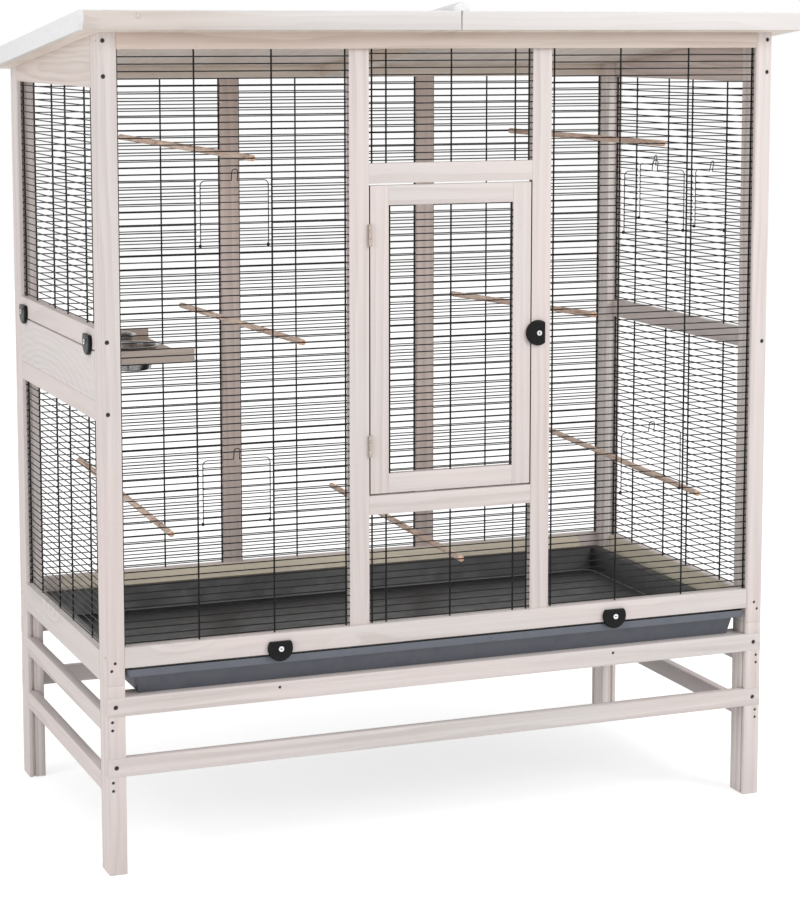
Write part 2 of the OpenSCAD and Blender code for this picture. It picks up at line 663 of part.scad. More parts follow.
// The latch's screw: shank from the face it is driven into, slotted head outside the latch
module latch_screw() rotate([90, 0, 0]) difference() {
    union() {
        cylinder(r = latch_screw_r, h = latch_t + 2 * fit);
        translate([0, 0, latch_t + 2 * fit]) cylinder(r = latch_head_r, h = latch_head_h);
    }
    translate([-latch_head_r - past, -screw_slot / 2, latch_t + 2 * fit + latch_head_h / 2])
        cube([2 * latch_head_r + 2 * past, screw_slot, latch_head_h]);
}
module at_door_latch() translate([door_latch_x, mid_in, door_latch_z]) rotate([0, 90, 0])
    children();
module at_tray_latch(s) translate([s * tray_latch_x, 0, tray_latch_z]) children();
module at_hatch_latch(y) on_left_side() translate([y, 0, hatch_latch_z]) children();
module door_latch() color("#3c3d40") set_down() at_door_latch() turn_latch();
module tray_latch_left() color("#3c3d40") set_down() at_tray_latch(-1) turn_latch();
module tray_latch_right() color("#3c3d40") set_down() at_tray_latch(1) turn_latch();
module hatch_latch_front() color("#3c3d40") set_down() at_hatch_latch(hatch_latch_y) turn_latch();
module hatch_latch_back() color("#3c3d40") set_down()
    at_hatch_latch(cage_d - hatch_latch_y) turn_latch();
module latch_screws() color("#b9babc") set_down() {
    at_door_latch() latch_screw();
    for (s = [-1, 1]) at_tray_latch(s) latch_screw();
    for (y = [hatch_latch_y, cage_d - hatch_latch_y]) at_hatch_latch(y) latch_screw();
}

// Tapered block: half width and Y range at the top, every side leaning in by lean at the bottom
module leaning_block(x, y0, y1, z0, z1, lean) intersection() {
    side_view(-x, x) polygon([[y0 + lean, z0], [y1 - lean, z0], [y1, z1], [y0, z1]]);
    translate([0, y1, 0]) rotate([90, 0, 0]) linear_extrude(height = y1 - y0)
        polygon([[-x + lean, z0], [x - lean, z0], [x, z1], [-x, z1]]);
}
module round_plate(x, y0, y1, r) {
    translate([-x + r, y0]) square([2 * x - 2 * r, y1 - y0]);
    translate([-x, y0 + r]) square([2 * x, y1 - y0 - 2 * r]);
    for (u = [-x + r, x - r], v = [y0 + r, y1 - r]) translate([u, v]) circle(r);
}
// Slide-out tray: leaning sides, flat rim with a turned-down lip
module tray() color("#5f646a") set_down() {
    x1 = tray_x - tray_rim_side;
    y0 = tray_in + tray_rim_end;
    y1 = tray_back - tray_rim_end;
    z1 = tray_z + tray_h;
    difference() {
        union() {
            leaning_block(x1, y0, y1, tray_z, z1, tray_lean);
            translate([0, 0, z1 - tray_rim_h]) linear_extrude(height = tray_rim_h) difference() {
                round_plate(tray_x, tray_in, tray_back, tray_round);
                round_plate(tray_x - tray_wall, tray_in + tray_wall, tray_back - tray_wall,
                    tray_round - tray_wall);
            }
            translate([0, 0, z1 - tray_wall]) linear_extrude(height = tray_wall)
                round_plate(tray_x, tray_in, tray_back, tray_round);
        }
        leaning_block(x1 - tray_wall, y0 + tray_wall, y1 - tray_wall, tray_z + tray_wall,
            z1 + past, tray_lean);
    }
}

// Hatch board in the left wall, and the shelf that it carries inside
module hatch() color("#ddd3cc") set_down()
    box([left, post_d + 2 * fit, hatch_z + fit],
        [left + board_t, cage_d - post_d - 2 * fit, hatch_top - hatch_gap_top]);
shelf_y = (cage_d - shelf_l) / 2;
bowl_ys = [shelf_y + shelf_l / 4, cage_d - shelf_y - shelf_l / 4];
shelf_z = hatch_z + shelf_up - shelf_t;
// Outside radius of a bowl where it stands in the board
bowl_seat_r = bowl_floor_r + (bowl_r - bowl_floor_r)
    * (shelf_z + shelf_board_t - bowl_z + bowl_h - bowl_wall) / (bowl_h - bowl_wall);
module feeder_shelf() color("#c2b4a6") set_down() difference() {
    box([left + board_t, shelf_y + shelf_rail_t, shelf_z],
        [left + board_t + shelf_d, shelf_y + shelf_l - shelf_rail_t, shelf_z + shelf_board_t]);
    for (y = bowl_ys) translate([bowl_x, y, shelf_z - past])
        cylinder(r = bowl_seat_r + fit, h = shelf_board_t + 2 * past);
}
module feeder_rails() color("#c2b4a6") set_down()
    for (y = [shelf_y, shelf_y + shelf_l - shelf_rail_t])
        box([left + board_t, y, shelf_z],
            [left + board_t + shelf_d, y + shelf_rail_t, shelf_z + shelf_t]);
// Steel bowl whose leaning wall stands in the board's hole
module bowl(y) set_down() translate([bowl_x, y, bowl_z - bowl_h + bowl_wall]) rotate_extrude()
    polygon([[0, 0], [bowl_floor_r, 0], [bowl_r, bowl_h - bowl_wall],
        [bowl_r + bowl_rim, bowl_h - bowl_wall], [bowl_r + bowl_rim, bowl_h],
        [bowl_r - bowl_wall, bowl_h], [bowl_floor_r - bowl_wall, bowl_wall], [0, bowl_wall]]);
module bowl_front() color("#bfc1c4") bowl(bowl_ys[0]);
module bowl_back() color("#bfc1c4") bowl(bowl_ys[1]);

// Feeder flap at a row wire, drawn on the front: eyes round the wire, a hoop with round corners,
// rows across it and a clip that reaches over the next row above
module feeder_flap(u, z) translate([u, grille_in, z]) {
    leg_x = (flap_w - flap_wire) / 2;
    turn_r = flap_round - flap_wire / 2;
    foot_x = clip_r - flap_wire / 2;
    for (s = [-1, 1]) {
        difference() {
            translate([s * leg_x - flap_wire, 0, 0]) rotate([0, 90, 0])
                cylinder(r = wire_d / 2 + run + eye_wall, h = 2 * flap_wire);
            translate([s * leg_x - flap_wire - past, 0, 0]) rotate([0, 90, 0])
                cylinder(r = wire_d / 2 + run, h = 2 * flap_wire + 2 * past);
        }
        translate([s * leg_x, flap_y, 0]) cylinder(d = flap_wire, h = flap_h - turn_r);
        translate([s * (leg_x - turn_r), flap_y, flap_h - turn_r]) rotate([90, 0, 0])
            mirror([s < 0 ? 1 : 0, 0, 0]) rotate_extrude(angle = 90)
                translate([turn_r, 0]) circle(d = flap_wire);
        translate([s > 0 ? foot_x : -leg_x + turn_r, flap_y, flap_h]) rotate([0, 90, 0])
            cylinder(d = flap_wire, h = leg_x - turn_r - foot_x);
        translate([s * foot_x, flap_y, flap_h]) sphere(r = flap_wire / 2 + bead);
    }
    translate([0, flap_y, flap_h]) rotate([clip_lean, 0, 0]) {
        for (s = [-1, 1]) translate([s * foot_x, 0, 0])
            cylinder(d = flap_wire, h = clip_h - clip_r);
        translate([0, 0, clip_h - clip_r]) rotate([90, 0, 0]) rotate_extrude(angle = 180)
            translate([foot_x, 0]) circle(d = flap_wire);
    }
    for (i = [1 : flap_rows - 1])
        translate([-flap_w / 2, flap_y - flap_wire - weld, i * wire_pitch]) rotate([0, 90, 0])
            cylinder(d = flap_wire, h = flap_w);
}
module flap_left_upper() color("#2a2a2c") set_down() feeder_flap(left_flap_x, front_high_flap_z);
module flap_left_lower() color("#2a2a2c") set_down() feeder_flap(left_flap_x, front_low_flap_z);
module flap_right_upper() color("#2a2a2c") set_down() feeder_flap(right_flap_x, front_high_flap_z);
module flap_right_lower() color("#2a2a2c") set_down() feeder_flap(right_flap_x, front_low_flap_z);
module flap_side_front() color("#2a2a2c") set_down()
    on_right_side() feeder_flap(cage_d / 2 - side_flap_y, side_flap_z);
module flap_side_back() color("#2a2a2c") set_down()
    on_right_side() feeder_flap(cage_d / 2 + side_flap_y, side_flap_z);

leg(false, false);  // leg_front_left
leg(true, false);  // leg_front_right
leg(false, true);  // leg_back_left
leg(true, true);  // leg_back_right
stand_rail_front_upper();
stand_rail_front_lower();
stand_rails_back();
stand_rails_side();
post(false, false);  // post_front_left
post(true, false);  // post_front_right
post(false, true);  // post_back_left
post(true, true);  // post_back_right
front_bottom_rail();
front_top_rail();
front_mid_posts();
door_surround_rails();
back_bottom_board();
back_mid_posts();
back_top_rail();
side_bottom_boards();
gable_boards();
side_mid_rails();
roof_rafter();
roof_left();
roof_right();
roof_strip();
grille_front_left();
grille_front_right();
grille_over_door();
grille_under_door();
grille_left_upper();
grille_left_lower();
grille_right_upper();
grille_right_lower();
grilles_back();
perches();
cage_screws();
stand_bolts();
latch_screws();
hinge_leaves_post();
hinge_leaves_door();
door_stiles();
door_rails();
door_grille();
door_latch();
tray();
tray_latch_left();
tray_latch_right();
hatch();
feeder_shelf();
feeder_rails();
hatch_latch_front();
hatch_latch_back();
bowl_front();
bowl_back();
flap_left_upper();
flap_left_lower();
flap_right_upper();
flap_right_lower();
flap_side_front();
flap_side_back();
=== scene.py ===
# %% [markdown]
# # A wooden bird cage, dressed for its photograph
# The cage is a tall timber frame with black wire grilles, a door, a slide-out tray and a roof that
# falls to the back. Its construction comes ready-made from the CAD model, which is never moved
# here. This lesson gives every piece its real surface: whitewashed spruce, white roof coat,
# black lacquered wire, slate-grey tray sheet, spun steel and bare perch wood.
#
# A frame that is already right is worth keeping. So most pieces stay as they are, with their
# edges softened. Only what a CAD solid can't show well is built anew: the weld beads of the
# grilles, the screw heads, the dark plugs that paint the shade in the latch screws' sockets, the
# perches, the bowls and the bead round the tray's floor.

# %% Load the fixed frame
import math

import bmesh
import bpy
from mathutils import Matrix, Vector, noise


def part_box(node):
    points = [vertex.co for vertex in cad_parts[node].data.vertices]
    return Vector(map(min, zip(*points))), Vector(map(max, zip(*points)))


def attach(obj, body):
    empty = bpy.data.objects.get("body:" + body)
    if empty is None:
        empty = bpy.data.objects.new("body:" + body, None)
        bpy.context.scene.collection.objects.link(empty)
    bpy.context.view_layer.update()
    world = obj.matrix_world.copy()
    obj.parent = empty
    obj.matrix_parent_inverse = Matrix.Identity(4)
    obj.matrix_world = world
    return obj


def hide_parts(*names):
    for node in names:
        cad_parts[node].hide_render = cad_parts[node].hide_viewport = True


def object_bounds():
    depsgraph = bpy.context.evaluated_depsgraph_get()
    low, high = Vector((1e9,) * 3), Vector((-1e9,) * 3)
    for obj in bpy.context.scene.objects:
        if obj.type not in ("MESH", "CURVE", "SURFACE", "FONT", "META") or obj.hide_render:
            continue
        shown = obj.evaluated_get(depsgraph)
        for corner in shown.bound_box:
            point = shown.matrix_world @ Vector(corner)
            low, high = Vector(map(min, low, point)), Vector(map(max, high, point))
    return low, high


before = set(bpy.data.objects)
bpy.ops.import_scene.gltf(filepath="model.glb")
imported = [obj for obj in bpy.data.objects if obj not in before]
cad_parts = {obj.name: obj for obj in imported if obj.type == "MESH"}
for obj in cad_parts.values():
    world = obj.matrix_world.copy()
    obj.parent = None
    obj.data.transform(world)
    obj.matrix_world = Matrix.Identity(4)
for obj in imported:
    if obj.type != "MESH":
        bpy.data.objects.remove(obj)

MM = 0.001
cad_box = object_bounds()
print("CAD box", [round(v, 3) for corner in cad_box for v in corner])

# %% [markdown]
# ## Colours as the eye reads them
# A photograph's colours are written for a screen, from 0 to 255, but a shader adds up light, so
# it wants linear numbers. One helper turns the first into the second. Every colour below can then
# be written as it was read from the picture.

# %% Screen colours to linear ones
def screen(red, green, blue):
    """Linear colour for a shader from a screen colour, 0 to 255."""
    def linear(c):
        c /= 255
        return c / 12.92 if c <= 0.04045 else ((c + 0.055) / 1.055) ** 2.4
    return (linear(red), linear(green), linear(blue), 1.0)


print("whitewash in linear numbers", [round(c, 3) for c in screen(232, 222, 219)])

# %% [markdown]
# ## Shader maths as plain Python
# Node trees for wood need a lot of arithmetic, such as "the fraction of the ring number". Dozens
# of loose Math nodes are hard to read, so a small class wraps a node's output and overloads
# Python's operators: an expression such as `1 - mask * 0.5` then adds the Math nodes by itself.
# Every other node comes from one method, `add`, which sets what kind of node it is before it
# fills or links its sockets.

# %% A socket that can be calculated with
class Signal:
    """One output of a node. Python's operators on it add Math nodes."""

    def __init__(self, bench, socket):
        self.bench, self.socket = bench, socket

    def maths(self, operation, *values):
        return self.bench.add("ShaderNodeMath", {"operation": operation}, dict(enumerate(values)))

    def __add__(self, other): return self.maths("ADD", self, other)
    def __sub__(self, other): return self.maths("SUBTRACT", self, other)
    def __rsub__(self, other): return self.maths("SUBTRACT", other, self)
    def __mul__(self, other): return self.maths("MULTIPLY", self, other)
    def __pow__(self, other): return self.maths("POWER", self, other)
    def __gt__(self, other): return self.maths("GREATER_THAN", self, other)
    def __lt__(self, other): return self.maths("LESS_THAN", self, other)
    def __abs__(self): return self.maths("ABSOLUTE", self)
    __radd__, __rmul__ = __add__, __mul__

    def fraction(self): return self.maths("FRACT", self)
    def largest(self, other): return self.maths("MAXIMUM", self, other)
    def smallest(self, other): return self.maths("MINIMUM", self, other)

    def ramp(self, low, high, start=0.0, end=1.0):
        """A smooth change from start to end while the signal goes from low to high."""
        return self.bench.add("ShaderNodeMapRange", {"interpolation_type": "SMOOTHSTEP"},
                              {0: self, 1: low, 2: high, 3: start, 4: end})

    def output(self, name):
        """Another output of the same node."""
        return Signal(self.bench, self.socket.node.outputs[name])


class Bench:
    """Builds one node tree, for a material, the world or Geometry Nodes."""

    def __init__(self, tree):
        self.tree = tree
        tree.nodes.clear()

    def add(self, kind, settings=None, sockets=None, out=0):
        """A node with its settings, then the values or links of its sockets."""
        made = self.tree.nodes.new(kind)
        for name, value in (settings or {}).items():
            setattr(made, name, value)
        for name, value in (sockets or {}).items():
            if isinstance(value, Signal):
                self.tree.links.new(value.socket, made.inputs[name])
            else:
                made.inputs[name].default_value = value
        return Signal(self, made.outputs[out]) if made.outputs else made

    def mix(self, share, first, second):
        """A colour between two: share 0 is the first, 1 the second."""
        return self.add("ShaderNodeMix", {"data_type": "RGBA"}, {0: share, 6: first, 7: second}, 2)

    def point(self, x, y, z):
        return self.add("ShaderNodeCombineXYZ", {}, {0: x, 1: y, 2: z})

    def speckle(self, where, scale, detail=2.0, roughness=0.5):
        """Soft noise from 0 to 1."""
        return self.add("ShaderNodeTexNoise", {}, {"Vector": where, "Scale": scale,
                                                   "Detail": detail, "Roughness": roughness})

# %% A new material with its shader
def new_finish(name):
    """A material, its bench, the object coordinates and the surface's own direction."""
    finish = bpy.data.materials.new(name)
    finish.use_nodes = True
    bench = Bench(finish.node_tree)
    place = bench.add("ShaderNodeTexCoord", {}, {}, "Object")
    return finish, bench, place, axes_of(bench, place.output("Normal"))


def axes_of(bench, vector):
    split = bench.add("ShaderNodeSeparateXYZ", {}, {"Vector": vector})
    return {"X": split, "Y": split.output("Y"), "Z": split.output("Z")}


def close_finish(bench, sockets, height=None, depth=0.3 * MM, strength=1.0):
    """Adds the shader with its sockets, and the bumps that a height gives."""
    if height is not None:
        sockets["Normal"] = bench.add("ShaderNodeBump", {}, {
            "Height": height, "Strength": strength, "Distance": depth})
    shader = bench.add("ShaderNodeBsdfPrincipled", {}, sockets)
    bench.add("ShaderNodeOutputMaterial", {}, {"Surface": shader})

# %% [markdown]
# ## Whitewashed spruce
# Softwood shows pale early wood and darker late wood in every growth ring. Where a saw cuts the
# rings flat they run out in long arches, which joiners call cathedrals, and where it cuts them
# upright they are straight lines. The contours of a smooth noise that is stretched along the
# trunk have just these shapes, so the ring number is such a noise plus the distance across the
# board, and its fraction is dark only at the end of each ring. Knots push the rings aside. A thin
# white wash hides most of the contrast, lies unevenly and leaves the end grain darker.
#
# Two things differ by place, and both are painted light. Faces that look into the cage can take a
# paler colour, warm on the lower boards: painted light where the lamps reach them weakly. The
# faces in the narrow gaps beside the door get bare brown wood, darkened as painted shade.
#
# A picture of wood would be quicker, but it needs an unwrapped mesh and repeats. A pattern
# that is calculated in space runs through the board, so that edges and ends agree with the face.

# %% Whitewashed spruce, grain along any axis
door_low, door_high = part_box("door_stiles")
door_middle = (door_low[2] + door_high[2]) / 2
door_reach = (door_high[2] - door_low[2]) / 2 + 3 * MM
gap_reach = 2.5 * MM


def washed_spruce(name, along, shade, line, rings=62.0, arches=5.0, contrast=0.42, seed=0.0,
                  heart=None, shaded_gaps=(), inner_painted_light=None):
    """Spruce with its grain along an axis. shade and line are the colours of early and late wood.
    heart is the middle of a whorl: its place across and along the board, and how slim it is.
    shaded_gaps lists the narrow gaps beside the door, whose faces get a brown darkened as painted
    shade, and inner_painted_light is a paler colour, painted light, for the faces that look to the
    cage's middle."""
    finish, bench, place, facing = new_finish(name)
    at = axes_of(bench, place)
    u, v = [at[a] for a in "XYZ" if a != along]
    w = at[along]
    flow = bench.speckle(bench.point(u * 7 + seed, v * 7, w * 0.8), 1.0, 2.0, 0.45)
    bend = bench.speckle(bench.point(u * 34, v * 34, w * 5 + seed), 1.0, 1.0)
    cell = bench.add("ShaderNodeTexVoronoi", {}, {
        "Vector": bench.point(u * 9 + seed, v * 9, w * 3.6), "Scale": 1.0}, "Distance")
    chosen = axes_of(bench, cell.output("Color"))["X"] > 0.62
    push = cell.ramp(0.0, 0.3, 1.7, 0.0) * chosen
    if heart:
        across, length, slim = heart
        rise = v - across
        stretch = (w - length) * slim
        far = (rise * rise + stretch * stretch) ** 0.5
        number = far * rings + flow * arches + bend * 0.9
        clear = far.ramp(0.01, 0.16, 1.0, 0.22)
    else:
        number = u * rings + v * (rings * 0.63) + flow * arches + bend * 0.7 + push + seed
        clear = bench.speckle(bench.point(u * 13 + 3 + seed, v * 13, w * 2.4), 1.0, 2.0).ramp(
            0.35, 0.66, 0.2, 1.0)
    ring = number.fraction()
    late = ring.ramp(0.15, 0.88) * ring.ramp(0.9, 1.0, 1.0, 0.0) * clear
    streak = bench.speckle(bench.point(u * 150, v * 150, w * 2.6 + seed), 1.0, 2.0, 0.55)
    fibre = bench.speckle(bench.point(u * 560, v * 560, w * 13), 1.0, 3.0, 0.6)
    pores = bench.speckle(bench.point(u * 1300, v * 1300, w * 45), 1.0, 1.0).ramp(0.62, 0.8)
    cloud = bench.speckle(bench.point(u * 8 + 5 + seed, v * 8, w * 2.1), 1.0, 2.0)
    knot = cell.ramp(0.02, 0.055, 1.0, 0.0) * chosen * 0.5
    grain = (late * contrast + (streak - 0.44) * 0.6 + (fibre - 0.5) * 0.35 + pores * 0.07
             + knot).largest(0.0).smallest(1.0)
    red, green, blue, _ = shade
    tinted = bench.mix(cloud.ramp(0.3, 0.7), (red * 1.01, green * 0.975, blue * 0.97, 1),
                       (red * 0.965, green * 0.985, blue * 0.985, 1))
    # Painted light: faces that look into the cage get a paler colour of their own.
    if inner_painted_light:
        inward = at["X"] * facing["X"] + at["Y"] * facing["Y"] < -0.22
        tinted = bench.mix(inward, tinted, bench.mix(cloud.ramp(0.3, 0.7) * 0.3, inner_painted_light, shade))
    wood = bench.mix(grain, tinted, line)
    # Painted shade: faces in the narrow gaps beside the door turn a darker brown, bare wood
    # darkened for the gaps.
    for middle_x in shaded_gaps:
        bare_and_painted_light = (abs(at["X"] - middle_x) < gap_reach) * abs(facing["X"]).ramp(0.6, 0.8)
        bare_and_painted_light = bare_and_painted_light * (abs(at["Z"] - door_middle) < door_reach)
        wood = bench.mix(bare_and_painted_light, wood, bench.mix(streak, screen(160, 132, 114), screen(110, 86, 72)))
    end = abs(facing[along]).ramp(0.7, 0.8)
    year = (((u + 0.021) ** 2 + (v + 0.017) ** 2) ** 0.5 * (rings * 4.5) + flow * 2).fraction()
    cut = bench.mix(year.ramp(0.3, 1.0) * 0.5 + fibre * 0.4, tinted, line)
    close_finish(bench, {"Base Color": bench.mix(end * 0.85, wood, cut),
                         "Roughness": cloud.ramp(0, 1, 0.5, 0.66) + fibre * 0.1,
                         "Specular IOR Level": 0.35},
                 fibre * 0.5 + late * 0.25 - pores * 0.2 + streak * 0.3, 0.2 * MM, 0.7)
    return finish


wash = {"shade": screen(233, 223, 220), "line": screen(202, 188, 182)}
# Painted light: the inner_painted_light colours lift faces that look into the cage, which the lamps
# reach weakly.
spruce_upright = washed_spruce("spruce_upright", "Z", **wash, seed=3.1, shaded_gaps=(-0.149, 0.153),
                               inner_painted_light=screen(252, 244, 240))
spruce_across = washed_spruce("spruce_across", "X", screen(231, 223, 220), screen(200, 188, 183),
                              seed=7.7)
# Painted shade: a darker, pinker copy of the wash for the front top rail under the roof's overhang.
spruce_top = washed_spruce("spruce_top", "X", screen(226, 211, 201), screen(186, 165, 151),
                           contrast=0.45, seed=2.9)
spruce_side = washed_spruce("spruce_side", "Y", screen(230, 221, 218), screen(200, 188, 183),
                            rings=40, arches=7, seed=1.3)
spruce_low_side = washed_spruce("spruce_low_side", "Y", screen(230, 221, 218),
                                screen(200, 188, 183), rings=40, arches=7, seed=1.3,
                                inner_painted_light=screen(250, 243, 216))
spruce_hatch = washed_spruce("spruce_hatch", "Y", screen(229, 224, 222), screen(196, 188, 184),
                             rings=80, arches=3, contrast=0.3, seed=4.4, heart=(0.78, 0.1, 0.3))
spruce_gable = washed_spruce("spruce_gable", "Y", screen(229, 218, 212), screen(190, 173, 164),
                             rings=90, arches=8, contrast=0.32, seed=9.2,
                             heart=(1.35, -0.16, 0.055), inner_painted_light=screen(248, 235, 229))
spruce_inner = washed_spruce("spruce_inner", "X", **wash, seed=5.0, inner_painted_light=screen(255, 244, 218))
# Painted light: a paler, warmer copy of the wash for the back top rail and the rafter, in the dim
# light under the roof.
spruce_lit = washed_spruce("spruce_lit", "X", screen(252, 241, 230), screen(226, 206, 188),
                           seed=5.6)
# Painted shade: a pinker copy of the post wash with darker late wood, tuned for the dim light on
# the back posts.
spruce_inner_upright = washed_spruce("spruce_inner_upright", "Z", screen(236, 221, 214),
                                     screen(200, 181, 171), contrast=0.4, seed=6.0)
spruce_shelf = washed_spruce("spruce_shelf", "X", screen(208, 193, 183), screen(148, 128, 115),
                             rings=120, arches=6, contrast=0.5, seed=2.2)
print("kinds of spruce:", len([m for m in bpy.data.materials if m.name.startswith("spruce")]))

# %% [markdown]
# ## The roof: white coat on top, washed wood in front
# The top and the ends of the roof are coated white against the weather. Its front edge is bare
# washed wood, warm at the left and almost white towards the seam, and the underside is bare wood
# too, painted far paler than the wash as painted light, since little light reaches it. One material
# does all three: the surface's own direction tells them apart, and a wavy line near the corners
# shows where the coat was brushed round the edge.

# %% Roof coat over a washed fascia
coat_begins, bare_ends = 0.6575, 0.6545


def roof_finish():
    finish, bench, place, facing = new_finish("roof_coat")
    at = axes_of(bench, place)
    flow = bench.speckle(bench.point(at["X"] * 1.3, at["Y"] * 9, at["Z"] * 26), 1.0, 2.0)
    ring = (at["Z"] * 80 + at["X"] * 1.4 + flow * 9).fraction()
    late = ring.ramp(0.2, 0.9) * ring.ramp(0.92, 1.0, 1.0, 0.0)
    fibre = bench.speckle(bench.point(at["X"] * 14, at["Y"] * 480, at["Z"] * 600), 1.0, 3.0, 0.6)
    warm = bench.mix(late * 0.3 + fibre * 0.2, screen(229, 218, 211), screen(203, 188, 178))
    pale = bench.mix(late * 0.22 + fibre * 0.12, screen(234, 229, 227), screen(216, 207, 203))
    fascia = bench.mix(at["X"].ramp(-0.6, -0.2), warm, pale)
    strip = bench.speckle(bench.point(at["X"] * 60, at["Y"] * 4, at["Z"] * 60), 1.0, 2.0)
    # Painted light: the underside's colour is bare wood, made much paler than the wash for the
    # little light that reaches it.
    bare_and_painted_light = bench.mix(strip.ramp(0.4, 0.7) * 0.5 + fibre * 0.2, screen(252, 241, 231),
                     screen(233, 213, 197))
    wave = bench.speckle(bench.point(at["X"] * 60, at["Y"] * 60, at["Z"] * 130), 1.0, 2.0)
    coat = bench.mix(bench.speckle(place, 190, 3.0).ramp(0.35, 0.7), screen(244, 244, 244),
                     screen(238, 238, 238))
    front = ((0 - facing["Y"]).ramp(0.6, 0.8) * (abs(at["X"]) + wave * 0.008 < coat_begins)
             * (at["Z"] + wave * 0.002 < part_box("roof_left")[1].z - 0.5 * MM))
    under = (0 - facing["Z"]).ramp(0.6, 0.8) * (abs(at["X"]) < bare_ends)
    colour = bench.mix(under, bench.mix(front, coat, fascia), bare_and_painted_light)
    close_finish(bench, {"Base Color": colour, "Roughness": fibre * 0.12 + 0.5,
                         "Specular IOR Level": 0.35},
                 fibre * 0.5 + bench.speckle(place, 420, 2.0) * 0.5, 0.2 * MM, 0.7)
    return finish


roof_coat = roof_finish()

# %% [markdown]
# ## Black lacquered wire
# The wires are dipped in black lacquer. It is glossy where it ran smooth and duller where it
# dried thin, so only the roughness, a little dust and a fine bump change along a wire. The same
# recipe in a light grey serves for the bead of the tray, as a painted highlight along its crest.

# %% Lacquer
def lacquer(name, tone, gloss):
    finish, bench, place, facing = new_finish(name)
    runs = bench.speckle(place, 260, 2.0)
    dust = bench.speckle(place, 1400, 1.0).ramp(0.6, 0.85)
    close_finish(bench, {"Base Color": bench.mix(dust * 0.3, screen(*tone), screen(48, 44, 44)),
                         "Roughness": runs.ramp(0.3, 0.7, gloss, gloss + 0.2),
                         "Specular IOR Level": 0.22},
                 runs, 0.1 * MM, 0.4)
    return finish


wire_lacquer = lacquer("wire_lacquer", (15, 12, 13), 0.36)
flap_lacquer = lacquer("flap_lacquer", (22, 19, 21), 0.3)
# Painted highlight: the tray's bead gets a light grey, for the light along its crest.
bead_lacquer = lacquer("bead_lacquer", (118, 119, 124), 0.34)

# %% [markdown]
# ## Latch plastic and tray sheet
# The turn latches are moulded in charcoal plastic, whose mould leaves a fine grain. The tray is
# pressed sheet with a slate-grey coat: bluish outside, and scuffed inside, where the litter lies
# and is scraped out from left to right. Inside it is painted much darker, as painted shade for
# the dim light under the roof, and the rim and the leaning wall get greys tuned for their light.
# Both are told apart by direction and height again, so no seam has to be cut into the mesh.

# %% Plastic and sheet
def moulded_plastic():
    finish, bench, place, facing = new_finish("latch_plastic")
    mould = bench.add("ShaderNodeTexVoronoi", {}, {"Vector": place, "Scale": 1500.0})
    rub = bench.speckle(place, 90, 3.0).ramp(0.5, 0.8)
    close_finish(bench, {"Base Color": bench.mix(rub * 0.4, screen(19, 19, 20), screen(36, 36, 38)),
                         "Roughness": rub * 0.12 + 0.34, "Specular IOR Level": 0.16},
                 mould, 0.06 * MM, 0.6)
    return finish


tray_middle_y, floor_top, rim_foot = 0.009, 0.3065, 0.337


def tray_coat():
    finish, bench, place, facing = new_finish("tray_coat")
    at = axes_of(bench, place)
    scuff = bench.speckle(bench.point(at["X"] * 30, at["Y"] * 55, at["Z"] * 30), 1.0, 4.0, 0.6)
    scratch = bench.speckle(bench.point(at["X"] * 40, at["Y"] * 900, at["Z"] * 60), 1.0, 2.0)
    # Painted shade: the floor and the inner walls are much darker than the outside, for the dim
    # light under the roof.
    leaning = (at["X"] * facing["X"] + (at["Y"] - tray_middle_y) * facing["Y"]) < 0
    inside_painted_shade = facing["Z"].ramp(0.15, 0.6).largest(leaning * (at["Z"] > floor_top))
    outer = bench.mix(scuff.ramp(0.4, 0.75), screen(99, 103, 112), screen(91, 95, 105))
    # Painted light: the rim band gets a grey tuned apart from the leaning wall below, for how each
    # is lit.
    rim = bench.mix(scuff.ramp(0.4, 0.75), screen(101, 105, 114), screen(94, 98, 107))
    outer = bench.mix((at["Z"] > rim_foot) * 0.9, outer, rim)
    floor = bench.mix(scuff.ramp(0.35, 0.7), screen(35, 36, 39), screen(46, 47, 50))
    floor = bench.mix(scratch.ramp(0.66, 0.8) * 0.3, floor, screen(96, 94, 97))
    close_finish(bench, {"Base Color": bench.mix(inside_painted_shade, outer, floor),
                         "Roughness": scuff.ramp(0.3, 0.7, 0.34, 0.5), "Specular IOR Level": 0.5},
                 scuff * 0.4 + scratch * 0.3, 0.15 * MM, 0.5)
    return finish


latch_plastic, tray_grey = moulded_plastic(), tray_coat()

# %% [markdown]
# ## Metals
# Polished and plated metal has next to no colour of its own: it shows the room. What tells
# steel from zinc is how sharp that picture is, so each metal gets a base tone, a roughness and
# fine marks that follow how it was made. The bowls were spun, so theirs run in circles round
# each bowl's own axis. Up to a set height, each bowl's inside is painted brown as a painted
# reflection of the wood round it.

# %% Spun steel and plated screws
inner_radius, painted_reflection_height = 46.2 * MM, 38 * MM


def spun_steel(name, centre, floor):
    """Stainless steel with circular brush marks round one bowl's axis."""
    finish, bench, place, facing = new_finish(name)
    at = axes_of(bench, place)
    radius = ((at["X"] - centre[0]) ** 2 + (at["Y"] - centre[1]) ** 2) ** 0.5
    marks = bench.speckle(bench.point(radius * 1400, at["Z"] * 1400, 0.0), 1.0, 2.0)
    stain = bench.speckle(place, 32, 2.0).ramp(0.4, 0.7)
    # Painted reflection: inside each bowl, up to a set height, a brown stands for the wood
    # reflected in the steel.
    painted_reflection = (radius < inner_radius) * facing["Z"].ramp(0.0, 0.2) * (at["Z"] < floor + painted_reflection_height)
    steel = bench.mix(stain * 0.5, screen(158, 158, 160), screen(124, 121, 118))
    close_finish(bench, {"Base Color": bench.mix(painted_reflection * (stain * 0.25 + 0.7), steel,
                                                 screen(84, 70, 60)),
                         "Metallic": 1.0,
                         "Roughness": marks * 0.03 + painted_reflection * 0.1 + 0.16})
    return finish


